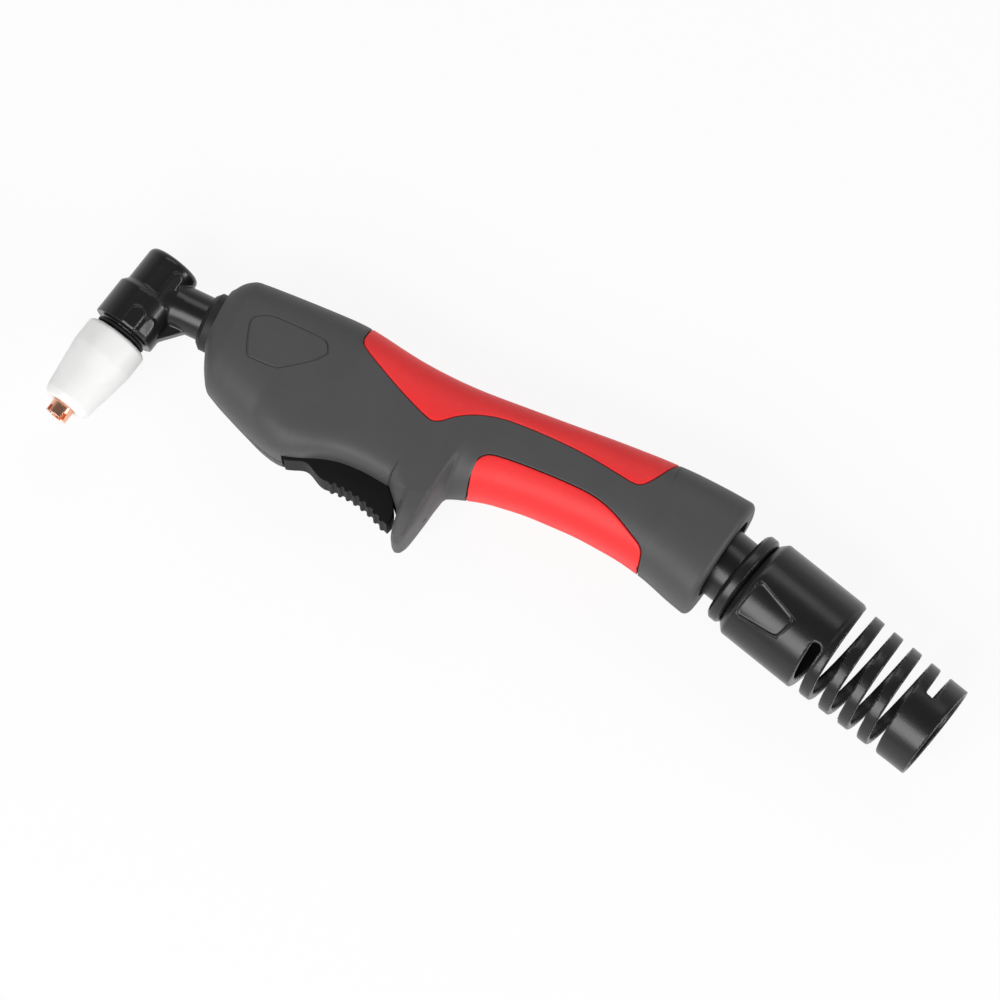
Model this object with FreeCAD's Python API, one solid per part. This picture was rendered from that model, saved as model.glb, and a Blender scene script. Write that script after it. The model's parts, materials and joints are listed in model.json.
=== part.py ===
"""Hand torch for air plasma cutting, in millimetres.

Working frame: the origin is where the head's axis crosses the neck's axis, +X runs back along the
neck and the handle, +Y runs towards the back of the hand, and +Z runs out of the left flank.
The torch lies on its right flank. At the end every piece is moved so that the origin is on the
floor, under the middle of the whole torch.
"""
import FreeCAD, Part
import math
import os

V = FreeCAD.Vector
Z_AXIS = V(0, 0, 1)

# ---- fits ---------------------------------------------------------------------------------------
SEAT_GAP = 0.05        # between pieces that seat in each other
SOFT_GAP = 0.15        # between a soft piece and the curved face that it lies on
RUN_GAP = 0.08         # radial clearance of a piece that turns or slides in another
FREE_GAP = 0.35        # between pieces that move past each other without touching
BIG = 200.0            # longer than anything in the torch, for cutting blocks

# ---- head, measured along the head's own axis, up positive --------------------------------------
HEAD_LEAN = 11.0       # degrees that the cup leans forward of square to the neck
CAP_TOP = 14.2
CAP_RADIUS = 10.8
CAP_ROUND = 2.4
CAP_FOOT = -0.8
SKIRT_TOP = -3.0
SKIRT_FOOT = -17.6
SKIRT_RADIUS = 12.6
COLLAR_RADIUS = 9.5
COLLAR_FOOT = -21.0
HEAD_WALL = 1.05       # plastic left round the pilot ring inside the collar
NECK_RADIUS = 8.6
NECK_END = 57.0
NECK_FLANGE_STEP = 2.4     # how far the flange stands out of the neck
NECK_FLANGE_START = 36.0
NECK_FLANGE_WIDTH = 4.0
GUSSET_WIDTH = 5.0
GUSSET_NECK_END = 17.0
GUSSET_SKIRT_FOOT = -15.4
GUSSET_SINK = 3.0      # how far the gusset's edges reach into the skirt and the neck
CAP_OVERLAP = 2.0      # how far its inner corner lies behind the head's axis
RING_WALL = 2.8        # rubber ring between the neck and the handle's nose
RING_WIDTH = 4.8
RING_CHAMFER = 1.8
ORING_SECTION = 0.7
ORING_HEIGHT = -19.3

# ---- working pieces inside the head -------------------------------------------------------------
PILOT_RING_WALL = 0.85
PILOT_RING_TOP = -12.0
PILOT_RING_FOOT = -31.0
INSULATOR_WALL = 1.05
INSULATOR_TOP = 6.9
CATHODE_RADIUS = 6.4
CATHODE_TOP = 7.8
CATHODE_FOOT = -21.5
CATHODE_BORE = 4.6
CATHODE_BORE_TOP = 5.2
TUBE_SINK = 0.4        # gap between the gas tube's end and the plunger's bore
PLUNGER_TOP = -8.0
PLUNGER_FOOT = -14.0
PLUNGER_STEM_RADIUS = 1.6
PLUNGER_STEM_TOP = -1.0
PLUNGER_SPRING_RADIUS = 3.2
PLUNGER_SPRING_WIRE = 0.45
PLUNGER_SPRING_TURNS = 6
ELECTRODE_RADIUS = 4.2
ELECTRODE_FOOT = -49.2
ELECTRODE_NOSE_RADIUS = 2.6
EMITTER_RADIUS = 0.8
EMITTER_LENGTH = 2.5
SWIRL_RING_FOOT = -33.0
SWIRL_HOLE_RADIUS = 0.6
SWIRL_HOLE_COUNT = 6
TIP_FLANGE_WIDTH = 3.0
TIP_WALL = 0.95
TIP_NECK_TOP = -50.2
TIP_NOZZLE_RADIUS = 4.4
TIP_FOOT = -58.2
TIP_CHAMBER_FOOT = -49.6
TIP_ORIFICE = 0.6
TIP_CROWN_DEPTH = 2.4
TIP_CROWN_BORE = 2.7
TIP_SLOT_WIDTH = 1.7
TIP_SLOTS = 4
CUP_TOP = -20.9
CUP_FOOT = -53.2
CUP_RADIUS = 12.4
CUP_STRAIGHT_FOOT = -31.0
CUP_NOSE_RADIUS = 9.6
CUP_NOSE_HEIGHT = -50.8
CUP_END_RADIUS = 8.4
CUP_WALL = 1.95
CUP_LIP = 2.8
CUP_CHAMBER_RADIUS = 6.3

# ---- gas tube and wires -------------------------------------------------------------------------
TUBE_RADIUS = 3.5
TUBE_BORE = 2.2
FITTING_START = 158.0
FITTING_HEX_LENGTH = 8.0
FITTING_HEX_RADIUS = 7.4
HEXAGON = 6
FITTING_STUD_RADIUS = 5.0
FITTING_STUD_LENGTH = 12.0
PILOT_WIRE_DROP = 5.6
PILOT_WIRE_RADIUS = 1.0
PILOT_WIRE_END = 146.0
SWITCH_LEAD_RADIUS = 0.8
SWITCH_LEAD_END = 142.0
CONNECTOR_WALL = 0.7
CONNECTOR_LENGTH = 9.0
CONNECTOR_LAP = 4.0

# ---- handle: x, lower edge, upper edge, half width of each section ------------------------------
HANDLE_SECTIONS = [
    (27.4, -10.5, 13.0, 13.0),
    (29.0, -15.0, 16.2, 14.6),
    (30.8, -18.8, 18.2, 16.0),
    (34.1, -24.3, 20.3, 17.8),
    (41.0, -27.0, 20.9, 19.0),
    (50.0, -30.8, 21.5, 19.9),
    (60.0, -34.6, 22.1, 20.4),
    (69.5, -36.8, 22.6, 20.4),
    (77.0, -34.2, 22.8, 20.3),
    (85.0, -30.4, 22.0, 20.0),
    (93.0, -28.4, 20.7, 19.6),
    (103.0, -28.2, 19.5, 19.0),
    (113.0, -29.3, 19.1, 18.4),
    (120.0, -28.8, 19.1, 18.0),
    (127.0, -25.2, 19.3, 17.7),
    (135.0, -20.0, 19.9, 17.4),
    (145.0, -16.8, 20.8, 17.1),
    (160.0, -14.6, 22.1, 17.0),
    (180.0, -13.8, 24.0, 17.3),
    (197.0, -14.8, 25.2, 18.2),
    (210.0, -17.0, 25.6, 19.4),
    (222.0, -20.2, 25.1, 20.4),
    (232.0, -22.4, 24.3, 20.4),
    (242.0, -24.3, 23.2, 20.3),
]

# ---- outlines in the mid-plane, as (x, y) -------------------------------------------------------
HOOK_FRONT = [(112.5, -22.0), (112.5, -30.6), (114.6, -32.0), (118.1, -35.5), (119.5, -38.0), (119.7, -43.5)]
HOOK_TIP = (122.6, -47.4)
HOOK_REAR = [(125.4, -45.6), (128.6, -31.0), (129.7, -28.4), (129.2, -27.2), (129.8, -23.6), (131.6, -21.6),
             (135.5, -18.5)]
UPPER_INLAY = [(80.2, 30.0), (80.2, 18.3), (80.5, 14.8), (82.6, 12.3), (91.4, 7.8), (103.0, 2.6),
               (112.4, -0.9), (115.9, -1.6), (119.0, -0.3), (124.0, 4.3), (131.3, 8.4), (141.2, 11.0),
               (157.0, 12.0), (172.0, 11.7), (184.0, 10.4), (192.0, 9.5), (195.6, 10.8), (199.2, 16.0),
               (204.6, 27.0)]
LOWER_INLAY = [(139.2, -24.0), (138.1, -17.0), (136.9, -11.5), (137.0, -8.5), (139.0, -5.2), (143.0, -3.4),
               (155.0, -2.0), (170.0, -1.2), (181.0, -1.5), (190.0, -3.8), (199.4, -8.2), (204.2, -10.8),
               (206.2, -14.4), (207.6, -24.0)]
# outline, height of its far side, and the side of the run that lies outside the grip
INLAYS = {"upper": (UPPER_INLAY, 60.0, 1), "lower": (LOWER_INLAY, -60.0, -1)}

SQUARENESS = 2.7       # exponent of the rounded sections: 2 is an ellipse, more is squarer
SECTION_POINTS = 24
SHELL_WALL = 2.6
CAVITY_START = 31.0
CAVITY_END = 197.0
CHANNEL_LAP = 4.0      # how far the lead channel reaches into the cavity
REAR_ROUND = 2.6
HOOK_FRONT_HALF = 16.0 # half widths of the finger hook at its front and at its root behind
HOOK_REAR_HALF = 9.5
RIB_WIDTH = 2.8        # ribs that trap the neck's flange
SCREW_RADIUS = 1.45
SCREW_HEAD_RADIUS = 2.9
SCREW_HEAD_HEIGHT = 2.0
SCREW_BOSS_WALL = 1.1
SCREW_SOCKET_RADIUS = 1.15
# x, y, and the heights of the head's seat and of the screw's tip
SCREWS = [
    (50.0, 14.2, -11.0, 8.0),
    (50.0, -20.5, -11.0, 8.0),
    (124.4, -32.0, -5.0, 7.0),
    (127.0, -14.0, -11.0, 8.0),
    (207.0, 21.2, -8.0, 7.0),
]
SCREW_HOLE_EXTRA = 0.15
INLAY_THICKNESS = 1.5
INLAY_GAP = 0.35       # groove round each soft grip

# ---- trigger and switch -------------------------------------------------------------------------
PIVOT_X = 77.5
PIVOT_Y = -28.4
PIVOT_RADIUS = 1.5
PIVOT_PIN_HALF = 12.0
PIVOT_BOSS_WALL = 2.4
TRIGGER_HALF_WIDTH = 8.0
TRIGGER_SIDE_GAP = 0.6
POCKET_HEADROOM = 2.4  # free height over the trigger's pad, for its travel
POCKET_FRONT = 71.2
POCKET_REAR = 119.45
TRIGGER_TOP = -23.6    # height of the pad that presses the switch
TRIGGER_UPPER = [(71.9, -35.6), (72.2, -31.6), (75.0, -26.6), (80.0, -25.0), (88.0, -24.4),
                 (97.5, TRIGGER_TOP), (104.0, -25.4), (110.0, -28.0), (115.5, -33.0), (117.9, -40.0)]
TRIGGER_LOWER = [(117.2, -42.2), (113.6, -40.6), (108.6, -38.6), (103.0, -37.1), (97.6, -36.5), (92.6, -36.6),
                 (89.2, -37.2), (86.0, -36.4), (80.4, -34.2), (76.0, -35.6), (72.8, -36.7)]
TOOTH_RANGE = (92.0, 114.5)
TOOTH_RADIUS = 0.9
TEETH = 8
TRIGGER_SPRING_X = 112.4
TRIGGER_SPRING_RADIUS = 2.6
TRIGGER_SPRING_WIRE = 0.45
TRIGGER_SPRING_TURNS = 5
SPRING_FOOT = -30.0      # bottom of the spring's seat in the trigger
SPRING_SEAT_DEPTH = 4.0
SPRING_SIDE_GAP = 1.0    # round the spring's wire circle in its seat
SPRING_SHELF_Y = -11.5
SPRING_SHELF_LENGTH = 7.2
SPRING_SHELF_THICKNESS = 2.0
SWITCH_X = 99.0
SWITCH_LENGTH = 18.0
SWITCH_FOOT = -20.0
SWITCH_TOP = -10.2
SWITCH_HALF_WIDTH = 3.2
SWITCH_RIB_SETBACK = 2.0     # the ribs that hold the switch stop this far from its ends
SWITCH_RIB_DROP = 1.0        # and this far from its top and foot
BUTTON_X = 97.5
BUTTON_RADIUS = 1.2
BUTTON_HIDDEN = 4.5
BUTTON_TRAVEL = 2.2
BUTTON_FREE_PLAY = 0.25      # gap between the button and the trigger's pad at rest
TERMINAL_LENGTH = 1.2
TERMINAL_WIDTH = 1.6
TERMINAL_HEIGHT = 2.6
TERMINAL_OFFSET = 2.0
TERMINAL_SPACING = 10.0

# ---- swivel joint and cable support, measured from the ball's centre along their own axis -------
BALL_X = 220.5
BALL_Y = 3.6
SOCKET_LEAN = -8.2     # degrees, the handle's rear axis below the neck's axis
SUPPORT_LEAN = -13.6   # degrees, the cable support's axis at rest
BALL_RADIUS = 16.5
BALL_FRONT = -12.0
SOCKET_SEAT_FRONT = -8.8
SOCKET_SEAT_REAR = 5.5
SOCKET_SEAT_WALL = 1.95
SOCKET_MOUTH_RADIUS = 16.2
SOCKET_FACE = 12.2
LEAD_CHANNEL_RADIUS = 12.0
KNUCKLE_NECK_RADIUS = 13.2
FLANGE_START = 19.8
FLANGE_END = 25.4
FLANGE_RADIUS = 18.7
FLANGE_CHAMFER = 1.3
KNUCKLE_BORE = 9.5
SPIGOT_END = 38.0
SPIGOT_RIM = 0.6
SPIGOT_RIM_WIDTH = 2.0
SLEEVE_START = 25.75
SLEEVE_LEAD_IN = 2.6
SLEEVE_RADIUS = 20.4
SLEEVE_END = 64.0
COIL_RADIUS = 19.7
COIL_END_RADIUS = 18.9
SUPPORT_END = 112.0
SUPPORT_BORE = 16.4
ENTRY_BORE = 17.0
ENTRY_LENGTH = 6.0
SLOT_PITCH = 8.8
SLOT_WIDTH = 4.2
SLOT_START = 60.1
SLOT_START_ANGLE = 111.0   # degrees from the top, turning towards the left flank
SLOT_TURNS = 4.89


# ---- frames and simple solids -------------------------------------------------------------------
def frame(origin, x_axis, z_axis):
    """Placement with the given origin, local X and local Z."""
    y_axis = z_axis.cross(x_axis)
    matrix = FreeCAD.Matrix(x_axis.x, y_axis.x, z_axis.x, origin.x,
                            x_axis.y, y_axis.y, z_axis.y, origin.y,
                            x_axis.z, y_axis.z, z_axis.z, origin.z,
                            0, 0, 0, 1)
    return FreeCAD.Placement(matrix)


def direction(degrees):
    """Unit vector in the mid-plane, turned from +X towards +Y."""
    angle = math.radians(degrees)
    return V(math.cos(angle), math.sin(angle), 0)


HEAD_FRAME = frame(V(0, 0, 0), direction(-HEAD_LEAN), direction(90 - HEAD_LEAN))
BALL_CENTRE = V(BALL_X, BALL_Y, 0)
SOCKET_FRAME = frame(BALL_CENTRE, direction(90 + SOCKET_LEAN), direction(SOCKET_LEAN))
SUPPORT_FRAME = frame(BALL_CENTRE, direction(90 + SUPPORT_LEAN), direction(SUPPORT_LEAN))


def placed(shape, placement):
    """Copy of a shape made in a local frame, moved into the working frame."""
    moved = shape.copy()
    moved.Placement = placement.multiply(shape.Placement)
    return moved


def rod(radius, low, high):
    """Solid cylinder on the local Z axis."""
    return Part.makeCylinder(radius, high - low, V(0, 0, low))


def tube(outer, inner, low, high):
    """Hollow cylinder on the local Z axis."""
    return rod(outer, low, high).cut(rod(inner, low - 1, high + 1))


def turned(profile):
    """Solid of revolution about the local Z axis, from a closed profile of (radius, height)."""
    points = [V(radius, 0, height) for radius, height in profile]
    wire = Part.makePolygon(points + points[:1])
    return Part.Face(wire).revolve(V(0, 0, 0), Z_AXIS, 360)


def box(x_range, y_range, z_range):
    """Block between the given limits."""
    size = [high - low for low, high in (x_range, y_range, z_range)]
    return Part.makeBox(*size, V(x_range[0], y_range[0], z_range[0]))


def rod_x(radius, start, end, y=0.0, z=0.0):
    """Cylinder along +X."""
    return Part.makeCylinder(radius, end - start, V(start, y, z), V(1, 0, 0))


def rod_z(radius, low, high, x, y):
    """Cylinder along +Z."""
    return Part.makeCylinder(radius, high - low, V(x, y, low))


def coil_spring(radius, wire_radius, turns, low, high):
    """Compression spring on the local Z axis, its ends inside the given heights."""
    start = low + wire_radius
    height = high - low - 2 * wire_radius
    helix = Part.makeHelix(height / turns, height, radius)
    profile = Part.Wire(Part.makeCircle(wire_radius, V(radius, 0, 0), V(0, 1, 0)))
    spring = Part.Wire(helix.Edges).makePipeShell([profile], True, True)
    spring.translate(V(0, 0, start))
    return spring


def prism(wire, half_width):
    """Flat outline in the mid-plane, thickened both ways along Z."""
    solid = Part.Face(wire).extrude(V(0, 0, 2 * half_width))
    solid.translate(V(0, 0, -half_width))
    return solid


def smooth_edge(points):
    """Open spline through points of the mid-plane."""
    curve = Part.BSplineCurve()
    curve.interpolate([V(x, y, 0) for x, y in points])
    return curve.toShape()


def closed_by_lines(points, corners):
    """Outline of a spline through the points, closed by straight lines through the corners."""
    ends = [points[-1]] + corners + [points[0]]
    lines = [Part.makeLine(V(*start, 0), V(*end, 0)) for start, end in zip(ends, ends[1:])]
    return Part.Wire([smooth_edge(points)] + lines)


# ---- head ---------------------------------------------------------------------------------------
PILOT_RING_OUTER = COLLAR_RADIUS - HEAD_WALL
PILOT_RING_INNER = PILOT_RING_OUTER - PILOT_RING_WALL
TIP_FLANGE_RADIUS = PILOT_RING_INNER
TIP_FLANGE_FOOT = SWIRL_RING_FOOT - TIP_FLANGE_WIDTH
CAVITY_RADIUS = CATHODE_RADIUS + INSULATOR_WALL + 2 * SEAT_GAP
FRONT_FACE = HANDLE_SECTIONS[0][0]
NECK_FLANGE_RADIUS = NECK_RADIUS + NECK_FLANGE_STEP
RING_RADIUS = NECK_RADIUS + RING_WALL


def head_body():
    """Black moulded head: cap, skirt, collar, gusset and the neck that the handle holds."""
    cap = rod(CAP_RADIUS, CAP_FOOT, CAP_TOP)
    cap = cap.makeFillet(CAP_ROUND, [edge for edge in cap.Edges if edge.BoundBox.ZMin > CAP_TOP - 0.1])
    skirt = turned([(0, CAP_FOOT), (CAP_RADIUS, CAP_FOOT), (SKIRT_RADIUS, SKIRT_TOP),
                    (SKIRT_RADIUS, SKIRT_FOOT), (COLLAR_RADIUS, SKIRT_FOOT),
                    (COLLAR_RADIUS, COLLAR_FOOT), (0, COLLAR_FOOT)])
    upright = placed(cap.fuse(skirt), HEAD_FRAME)
    neck = rod_x(NECK_RADIUS, 0, NECK_END)
    flange = rod_x(NECK_FLANGE_RADIUS, NECK_FLANGE_START, NECK_FLANGE_START + NECK_FLANGE_WIDTH)
    inner_corner = V(CAP_OVERLAP, -CAP_OVERLAP, 0)
    outline = [inner_corner, V(GUSSET_NECK_END, GUSSET_SINK - NECK_RADIUS, 0),
               V(GUSSET_NECK_END, -NECK_RADIUS, 0), V(SKIRT_RADIUS - GUSSET_SINK, GUSSET_SKIRT_FOOT, 0),
               inner_corner]
    gusset = prism(Part.makePolygon(outline), GUSSET_WIDTH / 2)
    body = upright.fuse([neck, flange, gusset])
    hollow = rod(CAVITY_RADIUS, COLLAR_FOOT - 1, CATHODE_TOP + SEAT_GAP)
    ring_seat = rod(PILOT_RING_OUTER + SEAT_GAP, COLLAR_FOOT - 1, PILOT_RING_TOP + SEAT_GAP)
    groove = Part.makeTorus(COLLAR_RADIUS, ORING_SECTION + SEAT_GAP, V(0, 0, ORING_HEIGHT))
    body = body.cut([placed(hollow, HEAD_FRAME), placed(ring_seat, HEAD_FRAME), placed(groove, HEAD_FRAME)])
    tube_bore = rod_x(TUBE_RADIUS + SEAT_GAP, 0, NECK_END + 1)
    wire_bore = rod_x(PILOT_WIRE_RADIUS + SEAT_GAP, 0, NECK_END + 1, -PILOT_WIRE_DROP)
    return body.cut([tube_bore, wire_bore]).removeSplitter()


def head_pieces():
    """Pieces that stay in the head when the cup is unscrewed."""
    cathode = rod(CATHODE_RADIUS, CATHODE_FOOT, CATHODE_TOP)
    cathode = cathode.cut(rod(CATHODE_BORE, CATHODE_FOOT - 1, CATHODE_BORE_TOP))
    cathode = placed(cathode, HEAD_FRAME).cut(rod_x(TUBE_RADIUS + SEAT_GAP, 0, SKIRT_RADIUS))
    sleeve_inner = CATHODE_RADIUS + SEAT_GAP
    insulator = tube(sleeve_inner + INSULATOR_WALL, sleeve_inner, CATHODE_FOOT, INSULATOR_TOP)
    wide_ring_bore = rod_x(TUBE_RADIUS + SEAT_GAP, 0, SKIRT_RADIUS)
    wire_notch = rod_x(PILOT_WIRE_RADIUS + SEAT_GAP, 0, SKIRT_RADIUS, -PILOT_WIRE_DROP)
    insulator = placed(insulator, HEAD_FRAME).cut([wide_ring_bore, wire_notch])
    pilot_ring = tube(PILOT_RING_OUTER, PILOT_RING_INNER, PILOT_RING_FOOT, PILOT_RING_TOP)
    oring = Part.makeTorus(COLLAR_RADIUS, ORING_SECTION, V(0, 0, ORING_HEIGHT))
    oring_bore = COLLAR_RADIUS - ORING_SECTION
    ring = tube(RING_RADIUS, NECK_RADIUS + SEAT_GAP, 0, RING_WIDTH)
    outer_edge = [edge for edge in ring.Edges
                  if edge.BoundBox.ZMax < SEAT_GAP and edge.BoundBox.XLength > 2 * RING_RADIUS - 1]
    ring = ring.makeChamfer(RING_CHAMFER, outer_edge)
    ring = placed(ring, frame(V(FRONT_FACE - SOFT_GAP - RING_WIDTH, 0, 0), V(0, 1, 0), V(1, 0, 0)))
    return {
        "cathode_body": cathode,
        "insulator_sleeve": insulator,
        "pilot_ring": placed(pilot_ring, HEAD_FRAME),
        "head_oring": placed(oring.cut(rod(oring_bore, ORING_HEIGHT - 1, ORING_HEIGHT + 1)), HEAD_FRAME),
        "neck_ring": ring,
    }


def plunger_pieces():
    """Sprung pieces that slide in the cathode body: plunger, electrode and emitter."""
    plunger = rod(CATHODE_BORE - RUN_GAP, PLUNGER_FOOT, PLUNGER_TOP)
    plunger = plunger.fuse(rod(PLUNGER_STEM_RADIUS, PLUNGER_TOP, PLUNGER_STEM_TOP)).removeSplitter()
    spring = coil_spring(PLUNGER_SPRING_RADIUS, PLUNGER_SPRING_WIRE, PLUNGER_SPRING_TURNS,
                         PLUNGER_TOP + SEAT_GAP, CATHODE_BORE_TOP - SEAT_GAP)
    nose = ELECTRODE_RADIUS - ELECTRODE_NOSE_RADIUS
    electrode = turned([(0, PLUNGER_FOOT), (ELECTRODE_RADIUS, PLUNGER_FOOT),
                        (ELECTRODE_RADIUS, ELECTRODE_FOOT + nose), (ELECTRODE_NOSE_RADIUS, ELECTRODE_FOOT),
                        (0, ELECTRODE_FOOT)])
    emitter = rod(EMITTER_RADIUS, ELECTRODE_FOOT, ELECTRODE_FOOT + EMITTER_LENGTH)
    electrode = electrode.cut(rod(EMITTER_RADIUS, ELECTRODE_FOOT - 1, ELECTRODE_FOOT + EMITTER_LENGTH))
    return {
        "plunger": placed(plunger, HEAD_FRAME),
        "plunger_spring": placed(spring, HEAD_FRAME),
        "electrode": placed(electrode, HEAD_FRAME),
        "emitter": placed(emitter, HEAD_FRAME),
    }


def swirl_ring():
    """Insulating ring that spins the gas, with a ring of slanting feed holes."""
    ring = tube(PILOT_RING_INNER - RUN_GAP, CATHODE_BORE, SWIRL_RING_FOOT, CATHODE_FOOT)
    height = (SWIRL_RING_FOOT + PILOT_RING_FOOT) / 2
    for index in range(SWIRL_HOLE_COUNT):
        start = V(0, ELECTRODE_RADIUS / 2, height)
        hole = Part.makeCylinder(SWIRL_HOLE_RADIUS, SKIRT_RADIUS, start, V(1, 0, 0))
        hole.rotate(V(0, 0, 0), Z_AXIS, 360 * index / SWIRL_HOLE_COUNT)
        ring = ring.cut(hole)
    return placed(ring, HEAD_FRAME)


def cutting_tip():
    """Copper tip: flange, hollow body, nozzle with an orifice and a castellated crown."""
    chamber = ELECTRODE_RADIUS + FREE_GAP
    body_radius = chamber + TIP_WALL
    nozzle_top = TIP_NECK_TOP - (body_radius - TIP_NOZZLE_RADIUS)
    tip = turned([(0, SWIRL_RING_FOOT), (TIP_FLANGE_RADIUS, SWIRL_RING_FOOT),
                  (TIP_FLANGE_RADIUS, TIP_FLANGE_FOOT), (body_radius, TIP_FLANGE_FOOT),
                  (body_radius, TIP_NECK_TOP + CUP_LIP / 2),
                  (TIP_NOZZLE_RADIUS, nozzle_top + CUP_LIP / 2), (TIP_NOZZLE_RADIUS, TIP_FOOT), (0, TIP_FOOT)])
    tip = tip.cut([rod(chamber, TIP_CHAMBER_FOOT, SWIRL_RING_FOOT + 1),
                   rod(TIP_ORIFICE, TIP_FOOT - 1, TIP_CHAMBER_FOOT + 1),
                   rod(TIP_CROWN_BORE, TIP_FOOT - 1, TIP_FOOT + TIP_CROWN_DEPTH)])
    for index in range(TIP_SLOTS):
        slot = box((0, CUP_RADIUS), (-TIP_SLOT_WIDTH / 2, TIP_SLOT_WIDTH / 2),
                   (TIP_FOOT - 1, TIP_FOOT + TIP_CROWN_DEPTH))
        slot.rotate(V(0, 0, 0), Z_AXIS, 360 * (index + 0.5) / TIP_SLOTS)
        tip = tip.cut(slot)
    return placed(tip, HEAD_FRAME)


THREAD_INNER = PILOT_RING_OUTER + RUN_GAP
THREAD_OUTER = CUP_RADIUS - CUP_WALL


def cup_pieces():
    """White retaining cup and the threaded brass insert moulded into it."""
    insert = tube(THREAD_OUTER, THREAD_INNER, PILOT_RING_FOOT, CUP_TOP - 1)
    lip_top = CUP_FOOT + CUP_LIP
    outside = turned([(0, CUP_TOP), (CUP_RADIUS - 1, CUP_TOP), (CUP_RADIUS, CUP_TOP - 1),
                      (CUP_RADIUS, CUP_STRAIGHT_FOOT), (CUP_NOSE_RADIUS, CUP_NOSE_HEIGHT),
                      (CUP_END_RADIUS, CUP_FOOT), (0, CUP_FOOT)])
    nozzle_hole = TIP_NOZZLE_RADIUS + FREE_GAP
    thread_seat = THREAD_OUTER + SEAT_GAP
    flange_hole = TIP_FLANGE_RADIUS + FREE_GAP
    inside = turned([(0, CUP_TOP + 1), (thread_seat, CUP_TOP + 1), (thread_seat, PILOT_RING_FOOT),
                     (flange_hole, PILOT_RING_FOOT), (flange_hole, TIP_FLANGE_FOOT),
                     (CUP_CHAMBER_RADIUS, TIP_FLANGE_FOOT), (CUP_CHAMBER_RADIUS, lip_top),
                     (nozzle_hole, lip_top), (nozzle_hole, CUP_FOOT - 1), (0, CUP_FOOT - 1)])
    return {
        "retaining_cup": placed(outside.cut(inside), HEAD_FRAME),
        "cup_thread_insert": placed(insert, HEAD_FRAME),
    }


# ---- gas and wiring -----------------------------------------------------------------------------
def supply_pieces():
    """Gas tube with its brass connector, and the pilot wire and switch leads with their crimps."""
    tube_end = FITTING_START + FITTING_HEX_LENGTH
    gas_tube = rod_x(TUBE_RADIUS, CATHODE_BORE + TUBE_SINK, tube_end).cut(rod_x(TUBE_BORE, 0, tube_end + 1))
    corners = [V(FITTING_START, FITTING_HEX_RADIUS * math.cos(corner * math.pi / 3),
                 FITTING_HEX_RADIUS * math.sin(corner * math.pi / 3)) for corner in range(HEXAGON)]
    hexagon = Part.makePolygon(corners + corners[:1])
    hex_body = Part.Face(hexagon).extrude(V(FITTING_HEX_LENGTH, 0, 0))
    stud_end = tube_end + FITTING_STUD_LENGTH
    fitting = hex_body.fuse(rod_x(FITTING_STUD_RADIUS, tube_end, stud_end))
    fitting = fitting.cut([rod_x(TUBE_RADIUS + SEAT_GAP, FITTING_START - 1, tube_end),
                           rod_x(TUBE_BORE, FITTING_START, stud_end + 1)])
    pilot_wire = rod_x(PILOT_WIRE_RADIUS, CAVITY_RADIUS + 1, PILOT_WIRE_END, -PILOT_WIRE_DROP)
    lead_height = SWITCH_TOP + TERMINAL_HEIGHT - SWITCH_LEAD_RADIUS
    leads = []
    ends = [(PILOT_WIRE_END, -PILOT_WIRE_DROP, 0, PILOT_WIRE_RADIUS)]
    for side in (-1, 1):
        start = SWITCH_X + side * TERMINAL_SPACING / 2 + TERMINAL_LENGTH / 2
        leads.append(rod_x(SWITCH_LEAD_RADIUS, start, SWITCH_LEAD_END, lead_height, side * TERMINAL_OFFSET))
        ends.append((SWITCH_LEAD_END, lead_height, side * TERMINAL_OFFSET, SWITCH_LEAD_RADIUS))
    crimps = []
    for x, y, z, radius in ends:
        crimp = rod_x(radius + CONNECTOR_WALL, x - CONNECTOR_LAP, x - CONNECTOR_LAP + CONNECTOR_LENGTH, y, z)
        crimps.append(crimp.cut(rod_x(radius + SEAT_GAP, x - CONNECTOR_LAP - 1, x, y, z)))
    return {
        "gas_tube": gas_tube,
        "tube_fitting": fitting,
        "pilot_wire": pilot_wire,
        "switch_leads": Part.makeCompound(leads),
        "lead_crimps": Part.makeCompound(crimps),
    }


# ---- handle -------------------------------------------------------------------------------------
def rounded_section(x, low, high, half_width, inset):
    """Closed superellipse: across is w*cos^(2/n), up is h*sin^(2/n), each with its sign."""
    middle = (low + high) / 2
    height = (high - low) / 2 - inset
    width = half_width - inset
    power = 2 / SQUARENESS
    points = []
    for index in range(SECTION_POINTS):
        angle = 2 * math.pi * (index + 0.5) / SECTION_POINTS
        across = math.copysign(abs(math.cos(angle)) ** power, math.cos(angle))
        up = math.copysign(abs(math.sin(angle)) ** power, math.sin(angle))
        points.append(V(x, middle + height * up, width * across))
    curve = Part.BSplineCurve()
    shared_knots = [index / SECTION_POINTS for index in range(SECTION_POINTS + 1)]
    curve.interpolate(points, PeriodicFlag=True, Parameters=shared_knots)
    return Part.Wire(curve.toShape())


def handle_loft(inset, start=-BIG, end=BIG * 2):
    """Solid through the handle's sections between two places, all pulled in by the inset."""
    sections = [rounded_section(*row, inset) for row in HANDLE_SECTIONS if start <= row[0] <= end]
    return Part.makeLoft(sections, True, False, False, 3)


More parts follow.
